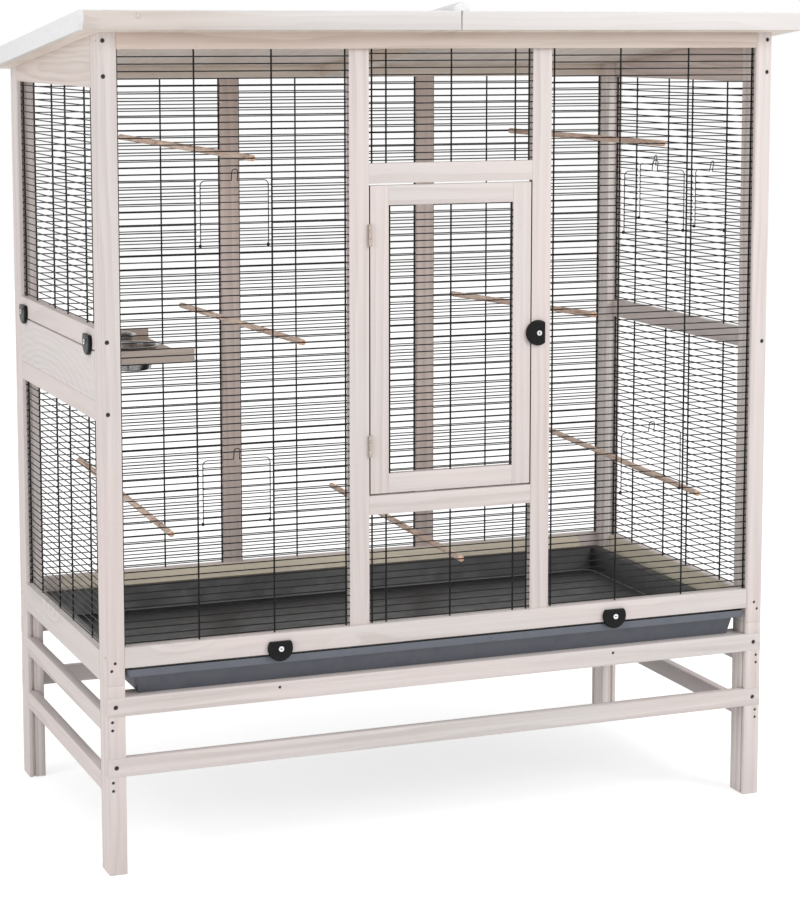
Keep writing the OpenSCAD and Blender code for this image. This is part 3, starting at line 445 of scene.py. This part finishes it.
def plated(name, bright, dark, rough, metal=1.0):
    """Plated steel with a fine crystal pattern and dull spots."""
    finish, bench, place, facing = new_finish(name)
    spots = bench.speckle(place, 700, 3.0).ramp(0.4, 0.75)
    close_finish(bench, {"Base Color": bench.mix(spots, bright, dark), "Metallic": metal,
                         "Roughness": spots * 0.2 + rough}, spots, 0.04 * MM, 0.5)
    return finish


screw_dark = plated("screw_dark", screen(76, 72, 72), screen(44, 42, 43), 0.38, 0.6)
screw_bright = plated("screw_bright", screen(236, 237, 238), screen(206, 207, 210), 0.2, 0.7)
hinge_zinc = plated("hinge_zinc", screen(196, 184, 172), screen(150, 136, 124), 0.45, 0.7)

# %% [markdown]
# ## Softened edges on the pieces that stay
# No sawn board has a perfectly sharp edge: it is eased with sandpaper, and a narrow bright line
# runs along it. The CAD solids have sharp ones. A chain of modifiers eases them without touching
# the solids themselves: Weld joins the loose triangles, Decimate dissolves flat faces into
# whole ones, and Bevel rounds what is left. Round wires only need smooth shading, which a tiny
# Geometry Nodes tree sets on every edge that isn't sharp.
#
# A tree's inputs are sockets of its interface. Each has a name for people and an identifier for
# the modifier, so one helper looks the identifier up.

# %% A Geometry Nodes tree with named inputs
def new_tree(name, inputs):
    """A Geometry Nodes tree, its bench and its inputs by name. inputs maps names to kinds."""
    tree = bpy.data.node_groups.new(name, "GeometryNodeTree")
    tree.is_modifier = True
    for title, kind in inputs.items():
        tree.interface.new_socket(title, in_out="INPUT", socket_type="NodeSocket" + kind)
    tree.interface.new_socket("Geometry", in_out="OUTPUT", socket_type="NodeSocketGeometry")
    bench = Bench(tree)
    given = bench.add("NodeGroupInput")
    return tree, bench, {title: given.output(title) for title in inputs}


def close_tree(bench, shape, material):
    """Every tree ends with real geometry and its material."""
    real = bench.add("GeometryNodeRealizeInstances", {}, {"Geometry": shape})
    done = bench.add("GeometryNodeSetMaterial", {}, {"Geometry": real, "Material": material})
    bench.add("NodeGroupOutput", {}, {"Geometry": done})


def set_inputs(modifier, **values):
    """Sets a Geometry Nodes modifier's inputs by their identifiers."""
    for socket in modifier.node_group.interface.items_tree:
        name = socket.name.lower().replace(" ", "_")
        if socket.in_out == "INPUT" and name in values:
            modifier[socket.identifier] = values.pop(name)
    assert not values, values

# %% Smooth shading below an angle
def shading_tree():
    tree, bench, given = new_tree("shade_by_angle", {
        "Geometry": "Geometry", "Sharp above": "Float", "Finish": "Material"})
    smooth = bench.add("GeometryNodeSetShadeSmooth", {"domain": "FACE"},
                       {"Geometry": given["Geometry"], "Shade Smooth": True})
    sharp = bench.add("GeometryNodeInputMeshEdgeAngle") > given["Sharp above"]
    edged = bench.add("GeometryNodeSetShadeSmooth", {"domain": "EDGE"},
                      {"Geometry": smooth, "Selection": sharp, "Shade Smooth": False})
    close_tree(bench, edged, given["Finish"])
    return tree


shade_by_angle = shading_tree()


def dress(nodes, material, edge=0.0, segments=2):
    """Gives CAD nodes their material, and eases their edges by a width in metres."""
    for name in nodes:
        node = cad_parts[name]
        node.data.materials.clear()
        node.data.materials.append(material)
        node.modifiers.new("joined", "WELD").merge_threshold = 0.000004
        if edge:
            flat = node.modifiers.new("whole_faces", "DECIMATE")
            flat.decimate_type, flat.angle_limit = "DISSOLVE", math.radians(0.4)
            eased = node.modifiers.new("eased_edges", "BEVEL")
            eased.width, eased.segments, eased.limit_method = edge, segments, "ANGLE"
            eased.angle_limit, eased.use_clamp_overlap = math.radians(40), False
        smooth = node.modifiers.new("shading", "NODES")
        smooth.node_group = shade_by_angle
        set_inputs(smooth, sharp_above=math.radians(38), finish=material)

# %% Dress the timber
posts = ["post_front_left", "post_front_right", "post_back_left", "post_back_right"]
legs = ["leg_front_left", "leg_front_right", "leg_back_left", "leg_back_right"]
dress(posts + legs + ["front_mid_posts", "door_stiles"], spruce_upright, 0.6 * MM)
dress(["stand_rail_front_upper", "stand_rail_front_lower", "stand_rails_back",
       "front_bottom_rail", "door_surround_rails", "door_rails"], spruce_across, 0.6 * MM)
dress(["front_top_rail"], spruce_top, 0.6 * MM)
dress(["stand_rails_side", "side_mid_rails"], spruce_side, 0.6 * MM)
dress(["side_bottom_boards"], spruce_low_side, 0.6 * MM)
dress(["hatch"], spruce_hatch, 0.6 * MM)
dress(["gable_boards"], spruce_gable, 0.6 * MM)
dress(["back_bottom_board"], spruce_inner, 0.6 * MM)
dress(["back_top_rail", "roof_rafter"], spruce_lit, 0.6 * MM)
dress(["back_mid_posts"], spruce_inner_upright, 0.6 * MM)
dress(["feeder_shelf", "feeder_rails"], spruce_shelf, 0.5 * MM)
dress(["roof_left", "roof_right", "roof_strip"], roof_coat, 0.8 * MM)

# %% Dress wires, fittings and the tray
grilles = [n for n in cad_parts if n.startswith("grille")] + ["door_grille"]
flaps = [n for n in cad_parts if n.startswith("flap")]
latches = [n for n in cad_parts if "latch" in n and n != "latch_screws"]
dress(grilles, wire_lacquer)
dress(flaps, flap_lacquer)
dress(latches, latch_plastic, 1.3 * MM, 3)
dress(["latch_screws"], screw_bright)
dress(["hinge_leaves_post", "hinge_leaves_door"], hinge_zinc, 0.3 * MM)
dress(["tray"], tray_grey, 0.7 * MM)
print(len(grilles), "grilles,", len(flaps), "flaps,", len(latches), "latches dressed")

# %% [markdown]
# ## Reading places from the solids
# The new pieces have to sit exactly on the CAD ones. Typing hundreds of coordinates would go
# wrong, so they are read from the frame's own meshes. A node holds many separate solids, such as
# all wires of a grille, as loose triangles. Triangles that share a corner belong together, and
# following that from corner to corner sorts a mesh into its solids.

# %% The separate solids of a node
def solids_of(name):
    """The corners of each separate solid in a CAD node, one list for each."""
    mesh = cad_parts[name].data
    corners = [tuple(round(c * 1e6) for c in v.co) for v in mesh.vertices]
    chief = {corner: corner for corner in corners}

    def leader(corner):
        while chief[corner] != corner:
            chief[corner] = chief[chief[corner]]
            corner = chief[corner]
        return corner

    for face in mesh.polygons:
        first, *others = [leader(corners[i]) for i in face.vertices]
        for other in others:
            chief[leader(other)] = leader(first)
    groups = {}
    for corner, vertex in zip(corners, mesh.vertices):
        groups.setdefault(leader(corner), []).append(vertex.co)
    return list(groups.values())


def box_of(points):
    """Lowest corner, highest corner and middle of some points."""
    low = Vector([min(p[i] for p in points) for i in range(3)])
    high = Vector([max(p[i] for p in points) for i in range(3)])
    return low, high, (low + high) / 2


middle = (Vector(cad_box[0]) + Vector(cad_box[1])) / 2


def outwards(axis, place):
    """The unit vector along an axis that points away from the cage's middle."""
    way = Vector((0, 0, 0))
    way[axis] = 1.0 if place[axis] > middle[axis] else -1.0
    return way


print("door grille:", len(solids_of("door_grille")), "wires")

# %% [markdown]
# ## Many small shapes from one tree
# Weld beads and screw heads are one shape each, set down in many places. A Geometry Nodes tree
# does it: a mesh of bare points carries each place, with the way it faces and its size as
# attributes. The tree turns the shape's Z axis to that way, gives each copy a spin of its own so
# that no two look stamped, makes the copies real and sets their material. The finished mesh is
# then taken over as a plain one, because an exported model can't carry instances.

# %% The placing tree
def placing_tree():
    tree, bench, given = new_tree("set_in_place", {
        "Geometry": "Geometry", "Shape": "Object", "Width": "Float", "Height": "Float",
        "Spin": "Float", "Seed": "Int", "Finish": "Material"})
    facing = bench.add("GeometryNodeInputNamedAttribute", {"data_type": "FLOAT_VECTOR"},
                       {"Name": "facing"})
    size = bench.add("GeometryNodeInputNamedAttribute", {"data_type": "FLOAT"}, {"Name": "size"})
    upright = bench.add("FunctionNodeAlignRotationToVector", {"axis": "Z"}, {"Vector": facing})
    angle = bench.add("FunctionNodeRandomValue", {"data_type": "FLOAT"},
                      {2: 0.0, 3: given["Spin"], 8: given["Seed"]}, 1)
    spin = bench.add("FunctionNodeAxisAngleToRotation", {}, {"Axis": (0, 0, 1), "Angle": angle})
    turned = bench.add("FunctionNodeRotateRotation", {"rotation_space": "LOCAL"},
                       {"Rotation": upright, "Rotate By": spin})
    shape = bench.add("GeometryNodeObjectInfo", {}, {"Object": given["Shape"]}, "Geometry")
    across = size * given["Width"]
    copies = bench.add("GeometryNodeInstanceOnPoints", {}, {
        "Points": given["Geometry"], "Instance": shape, "Rotation": turned,
        "Scale": bench.point(across, across, size * given["Height"])})
    close_tree(bench, copies, given["Finish"])
    return tree


set_in_place = placing_tree()

# %% Plain meshes from live ones
def show(name, mesh):
    """An object for a mesh, in the scene."""
    piece = bpy.data.objects.new(name, mesh)
    bpy.context.scene.collection.objects.link(piece)
    return piece


def frozen(name, carrier, *helpers, sharp=None):
    """A plain object with what a carrier's modifiers make. The carrier and helpers go."""
    bpy.context.view_layer.update()
    live = carrier.evaluated_get(bpy.context.evaluated_depsgraph_get())
    mesh = bpy.data.meshes.new_from_object(live)
    mesh.name = name
    for spent in (carrier, *helpers):
        bpy.data.objects.remove(spent)
    mesh.shade_smooth()
    if sharp:
        mesh.set_sharp_from_angle(angle=math.radians(sharp))
    return show(name, mesh)


def settle(piece, body, slot, *nodes):
    """The piece rides on a body and stands for CAD nodes, which it hides. slot is not used."""
    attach(piece, body)
    if nodes:
        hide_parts(*nodes)


def place_copies(name, spots, shape, finish, width=1.0, height=1.0, spin=0.0, seed=1, sharp=None):
    """Copies of a shape at spots, each a place, the way it faces and its size."""
    mesh = bpy.data.meshes.new(name + "_spots")
    mesh.from_pydata([place for place, way, size in spots], [], [])
    ways = mesh.attributes.new("facing", "FLOAT_VECTOR", "POINT")
    ways.data.foreach_set("vector", [c for place, way, size in spots for c in way])
    sizes = mesh.attributes.new("size", "FLOAT", "POINT")
    sizes.data.foreach_set("value", [size for place, way, size in spots])
    carrier = show(name + "_spots", mesh)
    placing = carrier.modifiers.new("placing", "NODES")
    placing.node_group = set_in_place
    set_inputs(placing, shape=shape, width=width, height=height, spin=spin, seed=seed,
               finish=finish)
    return frozen(name, carrier, sharp=sharp)

# %% [markdown]
# ## Weld beads
# Where a row wire touches an upright, the two are welded, and the joint shows as a dark dot that
# gives a grille its rhythm. There are thousands, so each is a flattened ball of only twenty
# faces, which smooth shading rounds. The crossings come from the wires' own boxes: a row and an
# upright that touch and cross. The loose feeder flaps have no uprights, and their rows are welded
# to the bent frame wire at both ends.

# %% Where the wires cross
row_height, upright_height, upright_width, touching = 4 * MM, 20 * MM, 6 * MM, 3.5 * MM
end_weld = 1.2 * MM


def crossings(name):
    """The welded places of a grille or flap, as spots for the placing tree."""
    wires = [box_of(points) for points in solids_of(name)]
    rows = [w for w in wires if w[1].z - w[0].z < row_height]
    uprights = [w for w in wires if w[1].z - w[0].z > upright_height
                and max(w[1].x - w[0].x, w[1].y - w[0].y) < upright_width]
    spots = []
    for low, high, centre in rows:
        along = 0 if high.x - low.x > high.y - low.y else 1
        deep = 1 - along
        way = outwards(deep, centre)
        if not uprights:
            for end in (low[along] + end_weld, high[along] - end_weld):
                spot = centre.copy()
                spot[along] = end
                spots.append((spot, way, 0.8))
        for foot, top, axis in uprights:
            crossed = low[along] < axis[along] < high[along] and foot.z < centre.z < top.z
            if crossed and abs(axis[deep] - centre[deep]) < touching:
                spot = centre.copy()
                spot[along] = axis[along]
                spot -= way * (high[deep] - low[deep]) / 2
                spots.append((spot, way, 1.0))
    return spots


ball = bmesh.new()
bmesh.ops.create_icosphere(ball, subdivisions=1, radius=1.0)
ball_mesh = bpy.data.meshes.new("weld_shape")
ball.to_mesh(ball_mesh)
ball.free()
weld_shape = show("weld_shape", ball_mesh)

# %% Beads on the cage, the door and the flaps
bead = {"shape": weld_shape, "width": 1.95 * MM, "height": 1.5 * MM, "spin": 6.28}
fixed_welds = [spot for name in grilles if name != "door_grille" for spot in crossings(name)]
settle(place_copies("weld_beads_cage", fixed_welds, finish=wire_lacquer, **bead, seed=3),
       "frame", "wire")
settle(place_copies("weld_beads_door", crossings("door_grille"), finish=wire_lacquer, **bead,
                    seed=4), "door", "wire")
for number, name in enumerate(sorted(flaps)):
    beads = place_copies("weld_beads_" + name, crossings(name), finish=flap_lacquer, **bead,
                         seed=5 + number)
    settle(beads, name + "_body", "flap_wire")
bpy.data.objects.remove(weld_shape)
print(len(fixed_welds), "welds on the cage,", len(crossings("door_grille")), "on the door,",
      len(crossings(flaps[0])), "on each flap")

# %% [markdown]
# ## Turned shapes
# Screw heads and bowls are round about one axis, so both are turned from an outline, as on a
# lathe. The outline is closed, so the shape has an inside and an outside and its faces can be
# pointed outwards by themselves. A row of the outline can also be pressed six-sided, which gives
# a screw head the socket for its key.

# %% A lathe
def lathe(name, outline, sides, six_sided=()):
    """Turns (radius, height) points round the Z axis. Rows in six_sided are hexagons."""
    shape = bmesh.new()
    rows = []
    for number, (radius, height) in enumerate(outline):
        row = []
        for k in range(sides if radius else 1):
            angle = math.tau * k / sides
            reach = radius
            if number in six_sided:
                reach *= math.cos(math.pi / 6) / math.cos(angle % (math.pi / 3) - math.pi / 6)
            row.append(shape.verts.new((reach * math.cos(angle), reach * math.sin(angle), height)))
        rows.append(row)
    for one, two in zip(rows, rows[1:]):
        for k in range(sides):
            ring = [one[k % len(one)], one[(k + 1) % len(one)],
                    two[(k + 1) % len(two)], two[k % len(two)]]
            shape.faces.new(list(dict.fromkeys(ring)))
    bmesh.ops.recalc_face_normals(shape, faces=shape.faces[:])
    mesh = bpy.data.meshes.new(name)
    shape.to_mesh(mesh)
    shape.free()
    return mesh

# %% [markdown]
# ## Screw heads
# Every screw sits at the bottom of its own pocket, as a dark dome with a key's socket. The CAD
# has them as plain discs. A disc's box tells all that is needed: it is thinnest along the way
# that it faces, and half its width is the head's radius.

# %% Domed heads in place of the discs
def screw_spots(name):
    spots = []
    for points in solids_of(name):
        low, high, centre = box_of(points)
        size = high - low
        deep = min(range(3), key=lambda axis: size[axis])
        way = outwards(deep, centre)
        spots.append((centre - way * (size[deep] / 2), way, sorted(size)[1] / 2))
    return spots


head = lathe("head_shape", [(0, 0.1), (0.46, 0.1), (0.5, 0.44), (0.62, 0.5), (0.84, 0.41),
                            (0.97, 0.22), (1.0, 0.0), (0, 0.0)], 18, six_sided=(1, 2))
head_shape = show("head_shape", head)
for piece, node, seed in (("screw_heads", "cage_screws", 21), ("bolt_heads", "stand_bolts", 22)):
    spots = screw_spots(node)
    settle(place_copies(piece, spots, head_shape, screw_dark, spin=6.28, seed=seed, sharp=35),
           "frame", "dark_steel", node)
    print(piece, len(spots), "of radius", sorted({round(s[2] / MM, 1) for s in spots}), "mm")
bpy.data.objects.remove(head_shape)

# %% [markdown]
# The bright screws of the latches stay as they are, but each needs the dark socket for its key. A
# low, dark six-sided plug that stands a hair proud of the head shows as that hole: painted shade
# in place of a recess.

# %% Painted shade for the sockets of the latch screws
plug_shape = show("plug_shape", lathe("plug_shape", [(0, 1.0), (0.86, 1.0), (1.0, 0.5), (1.0, 0.0),
                                                     (0, 0.0)], 12, six_sided=(1, 2, 3)))
sunk = 0.8 * MM
sockets = []
for points in solids_of("latch_screws"):
    low, high, centre = box_of(points)
    deep = 0 if centre.x < -0.6 else 1  # those of the hatch look to the left, the others forwards
    way = outwards(deep, centre)
    sockets.append((centre + way * ((high - low)[deep] / 2 - sunk), way, 1.0))
    print("socket", [round(c, 4) for c in sockets[-1][0]], "faces", [round(c) for c in way])
settle(place_copies("latch_screw_sockets", sockets, plug_shape, screw_dark, width=1.7 * MM,
                    height=0.95 * MM, spin=6.28, seed=23, sharp=35), "frame", "dark_steel")
bpy.data.objects.remove(plug_shape)

# %% [markdown]
# ## Perches
# Seven rods run from front to back, with a slot at each end that sits on a row wire. They are
# bare wood that was split and rounded by hand, so the surface wanders and knots are left in
# dark streaks. A cylinder is too perfect: here each rod is a row of rings whose radius shrinks
# a little by noise, with eased ends. The slots are cut by a Boolean, the right tool for a clean
# notch in an uneven shape.

# %% Uneven rods with rounded ends
def rod(shape, front, back, radius, seed, sides=18, steps=64):
    """One closed rod between two points, added to a bmesh."""
    run = back - front
    eased_ends = {0: (0.0, 0.8), 1: (0.0016, 0.95), 2: (0.0042, 1.0)}
    rings = []
    for step in range(steps + 1):
        share, trim = step / steps, 1.0
        from_end = min(step, steps - step)
        if from_end in eased_ends:
            inset, trim = eased_ends[from_end]
            share = inset if step == from_end else 1 - inset
        centre = front + run * share
        ring = []
        for k in range(sides):
            angle = math.tau * k / sides
            way = Vector((math.cos(angle), 0, math.sin(angle)))
            dent = noise.noise(Vector((way.x * 1.3, share * 16 + seed, way.z * 1.3))) + 0.6
            reach = radius * trim * (1 - 0.05 * max(dent, 0))
            ring.append(shape.verts.new(centre + way * reach))
        rings.append(ring)
    for one, two in zip(rings, rings[1:]):
        for k in range(sides):
            shape.faces.new((one[k], one[(k + 1) % sides], two[(k + 1) % sides], two[k]))
    shape.faces.new(rings[0])
    shape.faces.new(rings[-1])


def block(shape, low, high):
    """A box between two corners, added to a bmesh that only cuts."""
    made = bmesh.ops.create_cube(shape, size=1.0)["verts"]
    for vertex in made:
        vertex.co = Vector([low[i] + (vertex.co[i] + 0.5) * (high[i] - low[i]) for i in range(3)])

# %% Perch wood
def perch_wood():
    finish, bench, place, facing = new_finish("perch_wood")
    at = axes_of(bench, place)
    x, y, z = at["X"], at["Y"], at["Z"]
    fibre = bench.speckle(bench.point(x * 700, y * 22, z * 700), 1.0, 3.0, 0.6)
    streak = bench.speckle(bench.point(x * 210, y * 16, z * 210), 1.0, 3.0, 0.7).ramp(0.53, 0.63)
    flake = bench.speckle(bench.point(x * 420, y * 75, z * 420), 1.0, 2.0).ramp(0.62, 0.7)
    cloud = bench.speckle(bench.point(x * 30, y * 7, z * 30), 1.0, 2.0)
    wood = bench.mix(cloud.ramp(0.35, 0.65), screen(252, 230, 213), screen(240, 212, 194))
    wood = bench.mix((fibre - 0.35).largest(0.0) * 0.7, wood, screen(182, 150, 132))
    wood = bench.mix((streak * 0.55).largest(flake * 0.4), wood, screen(126, 94, 78))
    ends = abs(facing["Y"]).ramp(0.75, 0.85)
    close_finish(bench, {"Base Color": bench.mix(ends * 0.85, wood, screen(198, 146, 110)),
                         "Roughness": fibre * 0.2 + 0.55, "Specular IOR Level": 0.3},
                 fibre * 0.6 - streak * 0.5, 0.3 * MM, 0.9)
    return finish


perch_bark = perch_wood()

# %% Seven perches on their wires
rods, notches = bmesh.new(), bmesh.new()
thickness, slot_depth, slot_half, beyond = 11 * MM, 4.3 * MM, 1.3 * MM, 10 * MM
for number, points in enumerate(solids_of("perches")):
    low, high, _ = box_of(points)
    front = box_of([p for p in points if p.y < low.y + 0.02 * MM])[2]
    back = box_of([p for p in points if p.y > high.y - 0.02 * MM])[2]
    rod(rods, front, back, thickness / 2, seed=number * 7.3)
    for end, inner_face in ((front, front.y + slot_depth), (back, back.y - slot_depth)):
        outer_face = end.y + (end.y - inner_face) * 0.5
        near, far = sorted((inner_face, outer_face))
        block(notches, (end.x - beyond, near, end.z - slot_half),
              (end.x + beyond, far, end.z + slot_half))
bmesh.ops.recalc_face_normals(rods, faces=rods.faces[:])
rod_mesh, notch_mesh = bpy.data.meshes.new("rods"), bpy.data.meshes.new("notches")
rods.to_mesh(rod_mesh)
notches.to_mesh(notch_mesh)
carrier, cutter = show("rods", rod_mesh), show("notches", notch_mesh)
carrier.data.materials.append(perch_bark)
cut = carrier.modifiers.new("slots", "BOOLEAN")
cut.operation, cut.solver, cut.object = "DIFFERENCE", "EXACT", cutter
perch_piece = frozen("perch_rods", carrier, cutter, sharp=50)
settle(perch_piece, "frame", "perch_wood", "perches")
print("perches:", len(perch_piece.data.polygons), "faces")

# %% [markdown]
# ## Feeding bowls
# Two spun steel bowls hang in the shelf by their leaning walls. Spinning leaves a rounded foot and
# a rim that is rolled over, and those curves are what catches the light, so the outline has
# several points there. Each bowl lifts out by itself, so each is a piece of its own.

# %% Turn the bowls
def bowl(node, body):
    low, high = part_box(node)
    centre = ((low[0] + high[0]) / 2, (low[1] + high[1]) / 2)
    outline = [(0, 0.5), (22, 0.5), (24, 0.0), (34.6, 0.0), (36.2, 0.6), (37.2, 2.0),
               (47.3, 39.6), (48.0, 41.2), (49.4, 41.7), (52.2, 41.5), (53.0, 42.0),
               (53.0, 42.5), (52.4, 43.0), (49.5, 43.0), (47.6, 42.6), (46.7, 41.6),
               (46.1, 39.8), (36.2, 3.4), (35.0, 1.9), (33.4, 1.2), (24, 1.2), (22, 1.7),
               (0, 1.7)]
    mesh = lathe(node + "_turned", [(r * MM, h * MM) for r, h in outline], 64)
    mesh.transform(Matrix.Translation((centre[0], centre[1], low[2])))
    mesh.materials.append(spun_steel(node + "_steel", centre, low[2]))
    mesh.shade_smooth()
    mesh.set_sharp_from_angle(angle=math.radians(50))
    piece = show(node + "_turned", mesh)
    settle(piece, body, "bowl_steel", node)
    return piece


for node in ("bowl_front", "bowl_back"):
    turned = bowl(node, node + "_body")
    print(turned.name, "wide", round(turned.dimensions.x, 4), "high", round(turned.dimensions.z, 4))

# %% [markdown]
# ## The bead round the tray's floor
# Pressed sheet is stiffened by a bead that follows the foot of the walls, and it shows as a fine
# bright line on the dark floor; its light grey is a painted highlight. It follows a rule, a
# rectangle with rounded corners, so a tree draws it: a rectangle curve, its corners filleted, a
# small round profile swept along it. Half of it is sunk in the floor.

# %% Sweep the bead
def bead_tree():
    tree, bench, given = new_tree("floor_bead", {
        "Geometry": "Geometry", "Length": "Float", "Depth": "Float", "Corner": "Float",
        "Thickness": "Float", "Place": "Vector", "Finish": "Material"})
    path = bench.add("GeometryNodeCurvePrimitiveQuadrilateral", {"mode": "RECTANGLE"},
                     {0: given["Length"], 1: given["Depth"]})
    soft = bench.add("GeometryNodeFilletCurve", {}, {"Curve": path, "Radius": given["Corner"]})
    soft.socket.node.mode = "POLY"
    soft.socket.node.inputs["Count"].default_value = 8
    profile = bench.add("GeometryNodeCurvePrimitiveCircle", {"mode": "RADIUS"},
                        {0: 10, 4: given["Thickness"]})
    swept = bench.add("GeometryNodeCurveToMesh", {}, {"Curve": soft, "Profile Curve": profile})
    moved = bench.add("GeometryNodeTransform", {},
                      {"Geometry": swept, "Translation": given["Place"]})
    close_tree(bench, moved, given["Finish"])
    return tree


tray_low, tray_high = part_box("tray")
inset, rise = 54 * MM, 2.4 * MM
carrier = show("bead_path", bpy.data.meshes.new("bead_path"))
sweep = carrier.modifiers.new("sweep", "NODES")
sweep.node_group = bead_tree()
set_inputs(sweep, length=tray_high[0] - tray_low[0] - inset,
           depth=tray_high[1] - tray_low[1] - inset, corner=22 * MM, thickness=1.6 * MM,
           place=((tray_low[0] + tray_high[0]) / 2, (tray_low[1] + tray_high[1]) / 2,
                  tray_low[2] + rise), finish=bead_lacquer)
floor_bead = frozen("tray_floor_bead", carrier)
settle(floor_bead, "tray_body", "tray_sheet")
print("bead", [round(c, 3) for c in floor_bead.dimensions])

# %% [markdown]
# ## Floor, background and light
# The photograph has a plain white ground and soft light from all round, a little stronger from
# the front right. The world gives the even part. It is white to the camera and in reflections,
# but only as bright as daylight in a room when it lights a surface, so nothing bleaches out.
# The floor is pale, keeps the cage's soft shadow, and is lifted to white for the camera alone.

# %% World and floor
def seen_directly(bench):
    """1 for camera, glossy and transmission rays, and 0 for light that only bounces."""
    ray = bench.add("ShaderNodeLightPath", {}, {}, "Is Camera Ray")
    return ray.largest(ray.output("Is Glossy Ray")).largest(ray.output("Is Transmission Ray"))


daylight, floor_lift = 0.62, 0.6
world = bpy.data.worlds.new("studio")
bpy.context.scene.world = world
world.use_nodes = True
bench = Bench(world.node_tree)
sky = bench.add("ShaderNodeBackground", {}, {
    "Color": (1, 1, 1, 1), "Strength": seen_directly(bench) * (1 - daylight) + daylight})
bench.add("ShaderNodeOutputWorld", {}, {"Surface": sky})

reach = 9.0
floor_mesh = bpy.data.meshes.new("floor")
floor_mesh.from_pydata([(-reach, -reach, 0), (reach, -reach, 0), (reach, reach, 0),
                        (-reach, reach, 0)], [], [(0, 1, 2, 3)])
floor_mesh.transform(Matrix.Translation((0, 0, -0.5 * MM)))
floor = show("floor", floor_mesh)
floor_finish, bench, place, facing = new_finish("floor_white")
dust = bench.speckle(place, 3.0, 2.0)
pale = bench.add("ShaderNodeBsdfDiffuse", {}, {"Color": bench.mix(
    dust * 0.3, screen(232, 232, 232), screen(226, 226, 226))})
lift = bench.add("ShaderNodeEmission", {}, {"Color": (1, 1, 1, 1), "Strength": floor_lift})
lifted = bench.add("ShaderNodeAddShader", {}, {0: pale, 1: lift})
shown = bench.add("ShaderNodeMixShader", {}, {0: seen_directly(bench), 1: pale, 2: lifted})
bench.add("ShaderNodeOutputMaterial", {}, {"Surface": shown})
floor.data.materials.append(floor_finish)

# %% Soft lamps
def softbox(name, place, target, size, power):
    """A square area lamp that looks at a point."""
    lamp = bpy.data.lights.new(name, "AREA")
    lamp.shape, lamp.size, lamp.energy = "SQUARE", size, power
    holder = bpy.data.objects.new(name, lamp)
    bpy.context.scene.collection.objects.link(holder)
    holder.location = place
    holder.rotation_euler = (Vector(target) - Vector(place)).to_track_quat("-Z", "Y").to_euler()


softbox("key", (2.4, -3.3, 3.0), (0.2, 0, 0.8), 2.2, 80)
softbox("fill", (-4.2, -1.3, 1.8), (0, 0, 0.8), 2.4, 45)

# %% [markdown]
# ## The camera
# The camera was fitted to posts, rails and wires: it stands to the left of the cage, at the
# height of the roof, and looks slightly down. A small shift moves the picture's middle down, as
# the photographer's crop did, and keeps the posts nearly upright. The lens was fitted in pixels
# of the picture's height, and the sensor's size turns it into millimetres.

# %% Camera
def photograph_camera():
    data = bpy.data.cameras.new("camera")
    camera = bpy.data.objects.new("camera", data)
    bpy.context.scene.collection.objects.link(camera)
    bpy.context.scene.camera = camera
    sensor, focal_pixels, picture_pixels = 36.0, 2444.4, 898
    data.sensor_width, data.shift_y = sensor, -0.12
    data.lens = focal_pixels / picture_pixels * sensor
    camera.location = (-1.6229, -4.1601, 1.4096)
    yaw, pitch, roll = math.radians(21.572), math.radians(7.249), math.radians(0.018)
    ahead = Vector((math.sin(yaw) * math.cos(pitch), math.cos(yaw) * math.cos(pitch),
                    -math.sin(pitch)))
    camera.rotation_mode = "QUATERNION"
    turn = ahead.to_track_quat("-Z", "Y") @ Matrix.Rotation(roll, 3, "Z").to_quaternion()
    camera.rotation_quaternion = turn
    return camera


camera = photograph_camera()
bpy.context.scene.view_settings.view_transform = "Standard"
